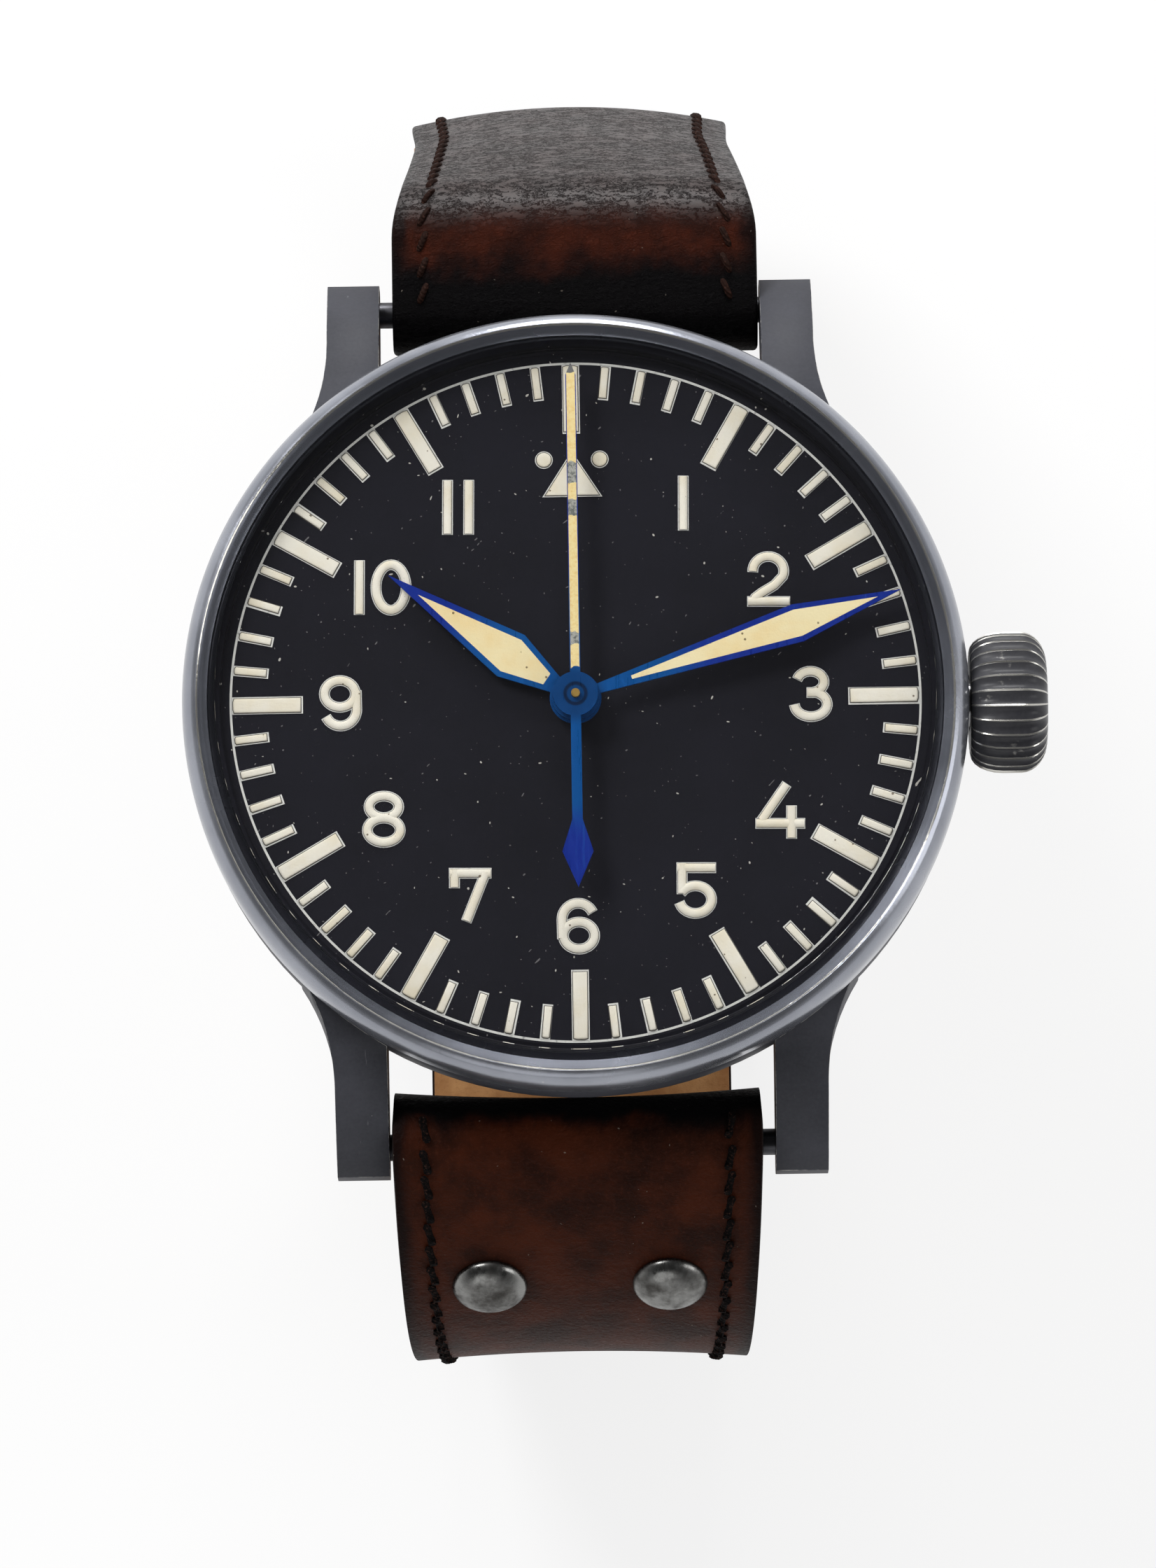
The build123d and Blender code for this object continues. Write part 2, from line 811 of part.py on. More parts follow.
# Heights inside the movement
train_bridge_bottom = ratchet_bottom + train_bridge_lift
train_bridge_top = train_bridge_bottom + train_bridge_thickness
fourth_bottom = train_bridge_top + fourth_wheel_lift
fourth_top = fourth_bottom + wheel_thickness
third_bottom = fourth_top + third_wheel_lift
third_top = third_bottom + wheel_thickness
fourth_pinion_top = third_top + pinion_overlap
centre_arbor_bottom = fourth_pinion_top + pinion_overlap
centre_bottom = plate_bottom - centre_wheel_drop - wheel_thickness
barrel_bottom = bridge_top + barrel_lift
barrel_top = plate_bottom - barrel_top_drop
escape_bottom = plate_bottom - escape_wheel_drop - wheel_thickness
escape_top = escape_bottom + wheel_thickness
pallet_cock_top = escape_bottom - pallet_cock_air
pallet_cock_bottom = pallet_cock_top - pallet_cock_thickness
balance_bottom = plate_bottom - balance_drop - balance_thickness
cock_bottom = ratchet_bottom + cock_lift
cock_top = cock_bottom + cock_thickness
recess_floor = dial_bottom - recess_depth
arbor_top = plate_bottom - arbor_shake
foot_reach = plate_radius - foot_inset
barrel_feet = [polar(foot_reach, angle) for angle in barrel_feet_angles]
train_feet = [polar(foot_reach, angle) for angle in train_feet_angles]
cock_foot = polar(foot_reach, cock_foot_angle)
pallet_foot = polar(pallet_foot_reach, pallet_foot_angle)
screw_places = [(place, bridge_bottom) for place in barrel_feet]
screw_places += [(place, train_bridge_bottom) for place in train_feet]
screw_places += [(cock_foot, cock_bottom)]
dial_feet = [polar(plate_radius - dial_foot_inset, angle) for angle in dial_feet_angles]

# Mainplate: recess for the motion work, window for the keyless work, holes for feet and screws
hour_tip = hour_module * (hour_teeth / 2 + wheel_tip_share)
minute_tip = motion_module * (minute_teeth / 2 + wheel_tip_share)
with BuildPart() as mainplate:
    disc(centre, plate_bottom, dial_bottom, plate_radius)
    disc(centre, recess_floor, dial_bottom, hour_tip + recess_play, Mode.SUBTRACT)
    disc(minute_place, recess_floor, dial_bottom, minute_tip + recess_play, Mode.SUBTRACT)
    disc(minute_place, recess_floor, dial_bottom - motion_air, minute_post_radius)
    disc(centre, plate_bottom, dial_bottom, centre_arbor_radius + running_fit, Mode.SUBTRACT)
    with BuildSketch(Plane.XY.offset(plate_bottom)):
        with Locations(((winding_start + sliding_end) / 2, 0)):
            Rectangle(sliding_end - winding_start + 2 * keyless_slot_play, 2 * (winding_radius + plate_play))
    extrude(amount=plate_thickness, mode=Mode.SUBTRACT)
    for place in dial_feet:
        disc(place, plate_bottom, dial_bottom, plate_foot_radius + running_fit, Mode.SUBTRACT)
    for place, head in screw_places:
        disc(place, plate_bottom, plate_bottom + screw_bite, screw_radius + running_fit, Mode.SUBTRACT)
save(mainplate, "mainplate")

# Barrel bridge on three feet, with posts for the crown wheel and the click
with BuildPart() as barrel_bridge:
    barrel_seats = [(barrel_place, bridge_seat), (crown_wheel_place, bridge_seat)]
    bridge_plate(bridge_bottom, bridge_thickness, barrel_seats + [(foot, foot_radius) for foot in barrel_feet])
    for foot in barrel_feet:
        disc(foot, bridge_top, plate_bottom, foot_radius)
        disc(foot, bridge_bottom, plate_bottom, screw_radius + running_fit, Mode.SUBTRACT)
    disc(barrel_place, bridge_bottom, bridge_top, barrel_arbor_radius + running_fit, Mode.SUBTRACT)
    disc(crown_wheel_place, ratchet_bottom, bridge_bottom, crown_wheel_post)
    disc(click_place, ratchet_bottom, bridge_bottom, click_nose)
    with BuildSketch(Plane.XY.offset(bridge_bottom)):
        with Locations((winding_start + winding_length / 2, 0)):
            Rectangle(winding_length + 2 * keyless_slot_play, 2 * (winding_radius + plate_play))
    extrude(amount=bridge_thickness, mode=Mode.SUBTRACT)
save(barrel_bridge, "barrel_bridge")

# Train bridge over the centre, third and escape arbors
with BuildPart() as train_bridge:
    train_seats = [(place, train_seat) for place in (centre, third_place, escape_place)]
    bridge_plate(
        train_bridge_bottom, train_bridge_thickness, train_seats + [(foot, foot_radius) for foot in train_feet]
    )
    for foot in train_feet:
        disc(foot, train_bridge_top, plate_bottom, foot_radius)
        disc(foot, train_bridge_bottom, plate_bottom, screw_radius + running_fit, Mode.SUBTRACT)
    for place in (centre, third_place, escape_place):
        disc(place, train_bridge_bottom, train_bridge_top, jewel_radius + press_fit, Mode.SUBTRACT)
save(train_bridge, "train_bridge")

# Balance cock on one foot
with BuildPart() as balance_cock:
    bridge_plate(cock_bottom, cock_thickness, [(balance_place, cock_seat), (cock_foot, foot_radius)])
    disc(cock_foot, cock_top, plate_bottom, foot_radius)
    disc(cock_foot, cock_bottom, plate_bottom, screw_radius + running_fit, Mode.SUBTRACT)
    disc(balance_place, cock_bottom, cock_top, jewel_radius + press_fit, Mode.SUBTRACT)
save(balance_cock, "balance_cock")

# Pallet cock, a thin strip on one foot
with BuildPart() as pallet_cock:
    bridge_plate(
        pallet_cock_bottom,
        pallet_cock_thickness,
        [(pallet_place, pallet_seat), (pallet_foot, pallet_foot_radius)],
    )
    disc(pallet_foot, pallet_cock_top, plate_bottom, pallet_foot_radius)
    disc(pallet_place, pallet_cock_bottom, pallet_cock_top, arbor_radius + running_fit, Mode.SUBTRACT)
save(pallet_cock, "pallet_cock")

# Ring jewels pressed into the bridges
jewel_places = [(place, train_bridge_bottom) for place in (centre, third_place, escape_place)]
jewel_places += [(balance_place, cock_bottom)]
with BuildPart() as jewels:
    for place, seat in jewel_places:
        disc(place, seat, seat + jewel_height, jewel_radius)
        disc(place, seat, seat + jewel_height, arbor_radius + running_fit, Mode.SUBTRACT)
save(jewels, "jewels")

# Slotted screws that hold the bridges to the mainplate
with BuildPart() as bridge_screws:
    for place, seat in screw_places:
        disc(place, seat - screw_head_height, seat, screw_head_radius)
        disc(place, seat, plate_bottom + screw_bite, screw_radius)
        with BuildSketch(Plane((*place, seat - screw_head_height))):
            Rectangle(2 * screw_head_radius + overrun, screw_slot)
        extrude(amount=screw_slot_depth, mode=Mode.SUBTRACT)
save(bridge_screws, "bridge_screws")

# Barrel drum: toothed rim, wall and floor
barrel_root = barrel_module * (barrel_teeth / 2 - wheel_root_share)
drum_inner = barrel_root - drum_wall
with BuildPart() as barrel_drum:
    solid_wheel(
        barrel_place, barrel_top - drum_tooth_rim, drum_tooth_rim, barrel_teeth, barrel_module, barrel_angle + 180
    )
    disc(barrel_place, barrel_bottom + drum_lid, barrel_top, barrel_root)
    disc(barrel_place, barrel_bottom + drum_lid, barrel_top - drum_floor, drum_inner, Mode.SUBTRACT)
    disc(barrel_place, barrel_bottom, barrel_top, barrel_arbor_radius + running_fit, Mode.SUBTRACT)
save(barrel_drum, "barrel_drum")

# Lid on the open side of the drum
with BuildPart() as barrel_lid:
    disc(barrel_place, barrel_bottom, barrel_bottom + drum_lid, barrel_root)
    disc(barrel_place, barrel_bottom, barrel_bottom + drum_lid, barrel_arbor_radius + running_fit, Mode.SUBTRACT)
save(barrel_lid, "barrel_lid")

# Mainspring: a flat coil inside the drum, its outer end against the wall
mainspring_runs = [
    (mainspring_first_radius + mainspring_pitch * turn / 2, 180) for turn in range(mainspring_half_turns)
]
with BuildPart() as mainspring:
    with BuildSketch(Plane((*barrel_place, barrel_bottom + drum_lid + seat_play))):
        ribbon((mainspring_first_radius, 0), 90, mainspring_runs, 0, -mainspring_thickness)
    extrude(amount=barrel_top - drum_floor - barrel_bottom - drum_lid - 2 * seat_play)
save(mainspring, "mainspring")

# Barrel arbor through the bridge, with a round seat for the ratchet wheel
with BuildPart() as barrel_arbor:
    disc(barrel_place, ratchet_bottom - ratchet_cap_height, ratchet_bottom, barrel_arbor_radius + ratchet_cap_wall)
    disc(barrel_place, ratchet_bottom, arbor_top, barrel_arbor_radius)
    disc(barrel_place, barrel_bottom + drum_lid + plate_play, barrel_top - drum_floor - plate_play, hub_radius)
save(barrel_arbor, "barrel_arbor")

# Ratchet wheel and crown wheel, in mesh
ratchet_bearing = heading(barrel_place, crown_wheel_place)
with BuildPart() as ratchet_wheel:
    solid_wheel(barrel_place, ratchet_bottom, ratchet_thickness, ratchet_teeth, ratchet_module, ratchet_bearing)
    disc(barrel_place, ratchet_bottom, ratchet_top, barrel_arbor_radius + press_fit, Mode.SUBTRACT)
save(ratchet_wheel, "ratchet_wheel")

with BuildPart() as crown_wheel:
    solid_wheel(
        crown_wheel_place,
        ratchet_bottom,
        ratchet_thickness,
        crown_wheel_teeth,
        ratchet_module,
        ratchet_bearing + 180 + 180 / crown_wheel_teeth,
    )
    disc(crown_wheel_place, ratchet_bottom, ratchet_top, crown_wheel_post + running_fit, Mode.SUBTRACT)
save(crown_wheel, "crown_wheel")

# Click beside the ratchet wheel
ratchet_tip = ratchet_module * (ratchet_teeth / 2 + wheel_tip_share)
click_tip_radius = click_nose / 2
click_point = moved(barrel_place, ratchet_tip + seat_play + click_tip_radius, click_angle - click_lead)
with BuildPart() as click:
    bridge_plate(ratchet_bottom, ratchet_thickness, [(click_place, click_radius), (click_point, click_tip_radius)])
    disc(click_place, ratchet_bottom, ratchet_top, click_nose + running_fit, Mode.SUBTRACT)
save(click, "click")

# Centre wheel on its hollow arbor, with the pinion that the barrel drives
hand_bore = fourth_arbor_radius + running_fit
centre_arbor_top = dial_top + minute_hand_lift
with BuildPart() as centre_wheel:
    wheel(centre, centre_bottom, centre_teeth, train_module, third_angle)
    pinion(
        centre,
        centre_arbor_bottom + pinion_overlap,
        centre_bottom,
        centre_pinion_leaves,
        barrel_module,
        barrel_angle + 180 / centre_pinion_leaves,
    )
    disc(centre, centre_arbor_bottom, centre_arbor_top, centre_arbor_radius)
    disc(centre, centre_arbor_bottom, centre_arbor_top, hand_bore, Mode.SUBTRACT)
save(centre_wheel, "centre_wheel")

# Third wheel with its pinion
with BuildPart() as third_wheel:
    wheel(third_place, third_bottom, third_teeth, third_module, third_angle + 180)
    pinion(
        third_place,
        centre_bottom - pinion_overlap,
        plate_bottom - seat_play,
        third_pinion_leaves,
        train_module,
        third_angle + 180 + 180 / third_pinion_leaves,
    )
    disc(third_place, train_bridge_bottom + arbor_shake, arbor_top, arbor_radius)
save(third_wheel, "third_wheel")

# Fourth wheel: its long arbor carries the seconds hand through the centre arbor
with BuildPart() as fourth_wheel:
    wheel(centre, fourth_bottom, fourth_teeth, fourth_module, escape_angle)
    pinion(
        centre,
        fourth_top,
        fourth_pinion_top,
        fourth_pinion_leaves,
        third_module,
        third_angle + 180 / fourth_pinion_leaves,
    )
    disc(centre, train_bridge_bottom + arbor_shake, dial_top + seconds_pin_lift, fourth_arbor_radius)
save(fourth_wheel, "fourth_wheel")

# Escape wheel with leaning teeth and its pinion
with BuildPart() as escape_wheel:
    with BuildSketch(Plane((*escape_place, escape_bottom))):
        escape_corners = []
        for tooth in range(escape_teeth):
            turn = tooth * 360 / escape_teeth
            escape_corners.append(polar(escape_root, turn))
            escape_corners.append(polar(escape_radius, turn + escape_lean))
            escape_corners.append(polar(escape_radius, turn + escape_lean + escape_tooth_width))
        with BuildLine():
            Polyline(*escape_corners, close=True)
        make_face()
        spokes(escape_root - escape_rim, escape_hub, escape_arm_width, wheel_arms)
    extrude(amount=wheel_thickness)
    pinion(
        escape_place,
        fourth_bottom - pinion_overlap,
        fourth_top + pinion_overlap,
        escape_pinion_leaves,
        fourth_module,
        escape_angle + 180 + 180 / escape_pinion_leaves,
    )
    disc(escape_place, train_bridge_bottom + arbor_shake, arbor_top, arbor_radius)
save(escape_wheel, "escape_wheel")

# Pallet fork: lever towards the balance, two arms with stones beside the escape wheel
stone_ring = escape_radius + pallet_swing_room + pallet_stone_length / 2
with BuildPart() as pallet_fork:
    disc(pallet_place, escape_bottom, escape_top, pallet_hub)
    with BuildSketch(Plane((*pallet_place, escape_bottom), x_dir=(*polar(1, escape_line), 0))):
        Rectangle(fork_length, fork_width, align=(Align.MIN, Align.CENTER))
        with Locations((fork_length - fork_horn / 2, 0)):
            Rectangle(fork_horn, 2 * fork_horn)
        with Locations((fork_length, 0)):
            Rectangle(fork_horn, fork_slot, mode=Mode.SUBTRACT)
    extrude(amount=wheel_thickness)
    for side in (-1, 1):
        stone_angle = escape_line + side * pallet_span
        stone_place = moved(escape_place, stone_ring, stone_angle)
        arm_angle = heading(pallet_place, stone_place)
        with BuildSketch(Plane((*pallet_place, escape_bottom), x_dir=(*polar(1, arm_angle), 0))):
            Rectangle(gap(pallet_place, stone_place), pallet_arm_width, align=(Align.MIN, Align.CENTER))
        extrude(amount=wheel_thickness)
        with BuildSketch(Plane((*stone_place, escape_bottom), x_dir=(*polar(1, stone_angle), 0))):
            Rectangle(pallet_stone_length, pallet_stone_width)
        extrude(amount=wheel_thickness)
    disc(pallet_place, pallet_cock_bottom, arbor_top, arbor_radius)
save(pallet_fork, "pallet_fork")

# Balance wheel: rim, two arms and hub
with BuildPart() as balance_wheel:
    with BuildSketch(Plane((*balance_place, balance_bottom))):
        Circle(balance_radius)
        spokes(balance_radius - balance_rim, balance_hub, balance_arm_width, 2)
        Circle(staff_radius + press_fit, mode=Mode.SUBTRACT)
    extrude(amount=balance_thickness)
save(balance_wheel, "balance_wheel")

# Balance staff with its roller
with BuildPart() as balance_staff:
    disc(balance_place, cock_bottom + arbor_shake, arbor_top, staff_radius)
    disc(balance_place, escape_bottom, escape_top, roller_radius)
save(balance_staff, "balance_staff")

# Hairspring between the cock and the balance
hairspring_runs = [
    (hairspring_first_radius + hairspring_pitch * turn / 2, 180) for turn in range(hairspring_half_turns)
]
with BuildPart() as hairspring:
    with BuildSketch(Plane((*balance_place, balance_bottom - hairspring_drop - hairspring_height))):
        ribbon((hairspring_first_radius, 0), 90, hairspring_runs, 0, -hairspring_thickness)
    extrude(amount=hairspring_height)
save(hairspring, "hairspring")

# Cannon pinion, which carries the minute hand
cannon_bore = centre_arbor_radius + press_fit
cannon_radius = centre_arbor_radius + cannon_wall
minute_hand_bottom = dial_top + minute_hand_lift
minute_hand_top = minute_hand_bottom + hand_thickness
with BuildPart() as cannon_pinion:
    pinion(
        centre,
        recess_floor + motion_air,
        recess_floor + motion_air + cannon_height,
        cannon_leaves,
        motion_module,
        minute_wheel_angle + 180 / cannon_leaves,
    )
    disc(centre, recess_floor + motion_air, minute_hand_top, cannon_radius)
    disc(centre, recess_floor + motion_air, minute_hand_top, cannon_bore, Mode.SUBTRACT)
save(cannon_pinion, "cannon_pinion")

# Minute wheel with its pinion, on the mainplate's post
minute_bottom = recess_floor + motion_air
hour_bottom = minute_bottom + cannon_height + hour_wheel_lift
with BuildPart() as minute_wheel:
    solid_wheel(
        minute_place, minute_bottom, wheel_thickness, minute_teeth, motion_module, minute_wheel_angle + 180
    )
    pinion(
        minute_place,
        minute_bottom + wheel_thickness,
        hour_bottom + wheel_thickness,
        minute_leaves,
        hour_module,
        minute_wheel_angle + 180 + 180 / minute_leaves,
    )
    disc(
        minute_place,
        minute_bottom,
        hour_bottom + wheel_thickness,
        minute_post_radius + running_fit,
        Mode.SUBTRACT,
    )
save(minute_wheel, "minute_wheel")

# Hour wheel with the pipe that carries the hour hand
hour_bore = cannon_radius + running_fit
hour_pipe_radius = hour_bore + hour_pipe_wall
hour_hand_bottom = dial_top + hour_hand_lift
hour_hand_top = hour_hand_bottom + hand_thickness
with BuildPart() as hour_wheel:
    solid_wheel(centre, hour_bottom, wheel_thickness, hour_teeth, hour_module, minute_wheel_angle)
    disc(centre, hour_bottom, hour_hand_top, hour_pipe_radius)
    disc(centre, hour_bottom, hour_hand_top, hour_bore, Mode.SUBTRACT)
save(hour_wheel, "hour_wheel")

# Dial with its two feet
with BuildPart() as dial:
    disc(centre, dial_bottom, dial_top, dial_radius)
    disc(centre, dial_bottom, dial_top, hour_pipe_radius + plate_play, Mode.SUBTRACT)
    for place in dial_feet:
        disc(place, dial_bottom - dial_foot_length, dial_bottom, plate_foot_radius)
save(dial, "dial")


def lume_window(start, foot, belly, width, end, mode=Mode.ADD):
    """Draw the long kite that the luminous paint fills."""
    with BuildLine() as outline:
        Polyline(
            (foot / 2, start),
            (width / 2, belly),
            (0, end),
            (-width / 2, belly),
            (-foot / 2, start),
            close=True,
        )
    make_face(outline.edges(), mode=mode)


def hand_blade(neck, hub, belly, width, length):
    """Draw a hand that widens from its neck to a belly and ends in a point."""
    with BuildLine() as outline:
        Polyline(
            (neck / 2, 0),
            (neck / 2, hub),
            (width / 2, belly),
            (0, length),
            (-width / 2, belly),
            (-neck / 2, hub),
            (-neck / 2, 0),
            close=True,
        )
    make_face(outline.edges())


# Hour hand, a blued frame round its lume
hour_plane = Plane.XY.offset(hour_hand_bottom).rotated((0, 0, -hour_hand_angle))
hour_window = (hour_lume_start, hour_lume_foot, hour_hand_belly, hour_lume_width, hour_lume_end)
with BuildPart() as hour_hand:
    with BuildSketch(hour_plane):
        hand_blade(hour_hand_neck, hour_hub_radius, hour_hand_belly, hour_hand_width, hour_hand_length)
        lume_window(*hour_window, Mode.SUBTRACT)
        Circle(hour_hub_radius)
        Circle(hour_pipe_radius + press_fit, mode=Mode.SUBTRACT)
    extrude(amount=hand_thickness)
save(hour_hand, "hour_hand")

with BuildPart() as hour_hand_lume:
    with BuildSketch(hour_plane):
        lume_window(*hour_window)
    extrude(amount=hand_thickness)
save(hour_hand_lume, "hour_hand_lume")

# Minute hand, widest towards its tip
minute_plane = Plane.XY.offset(minute_hand_bottom).rotated((0, 0, -minute_hand_angle))
minute_window = (minute_lume_start, minute_lume_foot, minute_hand_belly, minute_lume_width, minute_lume_end)
with BuildPart() as minute_hand:
    with BuildSketch(minute_plane):
        hand_blade(minute_hand_neck, minute_hub_radius, minute_hand_belly, minute_hand_width, minute_hand_length)
        lume_window(*minute_window, Mode.SUBTRACT)
        Circle(minute_hub_radius)
        Circle(cannon_radius + press_fit, mode=Mode.SUBTRACT)
    extrude(amount=hand_thickness)
save(minute_hand, "minute_hand")

with BuildPart() as minute_hand_lume:
    with BuildSketch(minute_plane):
        lume_window(*minute_window)
    extrude(amount=hand_thickness)
save(minute_hand_lume, "minute_hand_lume")

# Seconds hand: pointed bar, hub with a collar, tail with a diamond
seconds_bottom = dial_top + seconds_hand_lift
seconds_plane = Plane.XY.offset(seconds_bottom).rotated((0, 0, -seconds_hand_angle))
with BuildPart() as seconds_hand:
    with BuildSketch(seconds_plane):
        with BuildLine():
            Polyline(
                (seconds_hand_width / 2, -seconds_diamond_start),
                (seconds_hand_width / 2, seconds_hand_length - seconds_tip_length),
                (0, seconds_hand_length),
                (-seconds_hand_width / 2, seconds_hand_length - seconds_tip_length),
                (-seconds_hand_width / 2, -seconds_diamond_start),
                (-seconds_diamond_width / 2, -seconds_diamond_belly),
                (0, -seconds_tail_length),
                (seconds_diamond_width / 2, -seconds_diamond_belly),
                close=True,
            )
        make_face()
        Circle(seconds_hub_radius)
    extrude(amount=hand_thickness)
    disc(centre, seconds_bottom - collar_height, seconds_bottom, fourth_arbor_radius + collar_wall)
    disc(
        centre,
        seconds_bottom - collar_height,
        seconds_bottom + hand_thickness,
        fourth_arbor_radius + press_fit,
        Mode.SUBTRACT,
    )
save(seconds_hand, "seconds_hand")

# Route of the strap in the side view, where the first coordinate is Y and the second is Z
eye_bore = bar_radius + eye_play
eye_radius = eye_bore + eye_wall
strap_thickness = leather_thickness + lining_thickness
lower_bar = (-bar_reach, bar_height)
upper_bar = (bar_reach, bar_height)
lower_start = moved(lower_bar, eye_radius, 90 + lower_slope)
lower_centre = moved(lower_start, lower_radius, lower_slope - 90)
base_outer = lower_centre[1] - lower_radius
base_inner = base_outer + strap_thickness
tail_inner = base_outer - strap_gap
tail_outer = tail_inner - strap_thickness
step_drop = base_outer - tail_outer
step_run = (step_drop - 2 * step_radius * (1 - cos(radians(step_turn)))) / sin(radians(step_turn))
step_end = lower_centre[0] + lower_lead + 2 * step_radius * sin(radians(step_turn))
step_end += step_run * cos(radians(step_turn))
lower_runs = [
    (lower_lead, 0),
    (step_radius, -step_turn),
    (step_run, 0),
    (step_radius, step_turn),
    (tail_end - step_end, 0),
]
upper_start = moved(upper_bar, eye_radius, 90)
upper_first = [
    (upper_shoulder_run, 0),
    (upper_shoulder_radius, -upper_shoulder_turn),
    (upper_drop_run, 0),
]
drop_end = route_end(upper_start, 0, upper_first)
heel_radius = (drop_end[1] - base_outer) / (1 + cos(radians(upper_shoulder_turn)))
heel_centre_y = drop_end[0] - heel_radius * sin(radians(upper_shoulder_turn))
buckle_eye_bore = buckle_pin_radius + eye_play
buckle_eye_radius = buckle_eye_bore + buckle_eye_wall
buckle_pin = (0, base_outer + buckle_eye_radius)
stand_height = tail_outer - keeper_play - keeper_wall


def taper(top):
    """Keep the part of a strap that lies inside its tapering front outline."""
    with BuildSketch(Plane.XZ) as outline:
        with BuildLine() as edge:
            Polyline(
                (strap_width / 2, bar_height + 2 * eye_radius),
                (strap_width / 2, top),
                (strap_base_width / 2, base_inner),
                (strap_base_width / 2, stand_height),
                (-strap_base_width / 2, stand_height),
                (-strap_base_width / 2, base_inner),
                (-strap_width / 2, top),
                (-strap_width / 2, bar_height + 2 * eye_radius),
                close=True,
            )
        make_face(edge.edges())
    extrude(outline.sketch, amount=2 * strap_reach, both=True, mode=Mode.INTERSECT)


def strap_cuts():
    """Cut the tongue slot, the spare holes and the rounded end of the lower strap."""
    with BuildSketch(Plane.XY.offset(stand_height)) as cuts:
        with Locations((0, (tongue_slot_start + tongue_slot_end) / 2)):
            SlotOverall(tongue_slot_end - tongue_slot_start, tongue_slot_width, rotation=90)
        for hole in range(tail_hole_count):
            with Locations((0, tail_hole_first + hole * tail_hole_pitch)):
                Circle(tail_hole_radius)
    extrude(cuts.sketch, amount=base_inner + overrun - stand_height, mode=Mode.SUBTRACT)
    with BuildSketch(Plane.XY.offset(stand_height)) as tail:
        with Locations((0, tail_end)):
            Rectangle(strap_width, 2 * tail_end_radius)
        with Locations((0, tail_end - tail_end_radius)):
            Circle(tail_end_radius, mode=Mode.SUBTRACT)
            Rectangle(strap_width, tail_end_radius, align=(Align.CENTER, Align.MAX), mode=Mode.SUBTRACT)
    extrude(tail.sketch, amount=base_inner + overrun - stand_height, mode=Mode.SUBTRACT)
    with BuildSketch(rivet_plane) as holes:
        with GridLocations(rivet_spacing, 0, 2, 1):
            Circle(rivet_shank_radius + running_fit)
    extrude(holes.sketch, amount=2 * strap_thickness, both=True, mode=Mode.SUBTRACT)


def eye(place, radius, bore):
    """Add the loop of a strap round a bar, with its bore open."""
    with BuildSketch(Plane.YZ) as ring:
        with Locations(place):
            Circle(radius)
    extrude(ring.sketch, amount=strap_width / 2, both=True)
    with BuildSketch(Plane.YZ) as hole:
        with Locations(place):
            Circle(bore)
    extrude(hole.sketch, amount=strap_width, both=True, mode=Mode.SUBTRACT)


def band(start, direction, runs, near, far):
    """Add the even band of a strap along its route."""
    with BuildSketch(Plane.YZ) as side:
        ribbon(start, direction, runs, near, far)
    extrude(side.sketch, amount=strap_width / 2, both=True)


strap_reach = bar_reach + lower_radius
rivet_normal = polar(1, 90 + rivet_slope)
rivet_seat = moved(lower_centre, lower_radius, 90 + rivet_slope)
rivet_plane = Plane(origin=(0, *rivet_seat), x_dir=(1, 0, 0), z_dir=(0, *rivet_normal))

# Lower strap: from the 6 o'clock bar round the wrist space to the rounded tail
lower_turn = 180 - lower_slope
lining_turn = degrees(lining_setback / lower_radius)
with BuildPart() as lower_strap:
    band(lower_start, 180 + lower_slope, [(lower_radius, lower_turn)] + lower_runs, 0, leather_thickness)
    eye(lower_bar, eye_radius, eye_bore)
    taper(lower_taper_height)
    strap_cuts()
save(lower_strap, "lower_strap")

with BuildPart() as lower_lining:
    band(
        moved(lower_centre, lower_radius, 90 + lower_slope + lining_turn),
        180 + lower_slope + lining_turn,
        [(lower_radius, lower_turn - lining_turn)] + lower_runs,
        leather_thickness,
        strap_thickness,
    )
    taper(lower_taper_height)
    strap_cuts()
save(lower_lining, "lower_lining")

# Upper strap: short half over the 12 o'clock bar, down to the buckle
heel_run = (heel_radius, upper_shoulder_turn - 180)
with BuildPart() as upper_strap:
    band(upper_start, 0, upper_first + [heel_run, (heel_centre_y, 0)], 0, -leather_thickness)
    eye(upper_bar, eye_radius, eye_bore)
    eye(buckle_pin, buckle_eye_radius, buckle_eye_bore)
    taper(bar_height)
    with BuildSketch(Plane.XY.offset(stand_height)):
        Rectangle(tongue_slot_width, 2 * (buckle_eye_radius + eye_play))
    extrude(amount=-2 * stand_height, mode=Mode.SUBTRACT)
save(upper_strap, "upper_strap")

with BuildPart() as upper_lining:
    band(
        moved(upper_start, lining_setback, 0),
        0,
        [(upper_shoulder_run - lining_setback, 0)]
        + upper_first[1:]
        + [heel_run, (heel_centre_y - buckle_eye_radius - eye_play, 0)],
        -leather_thickness,
        -strap_thickness,
    )
    taper(bar_height)
save(upper_lining, "upper_lining")

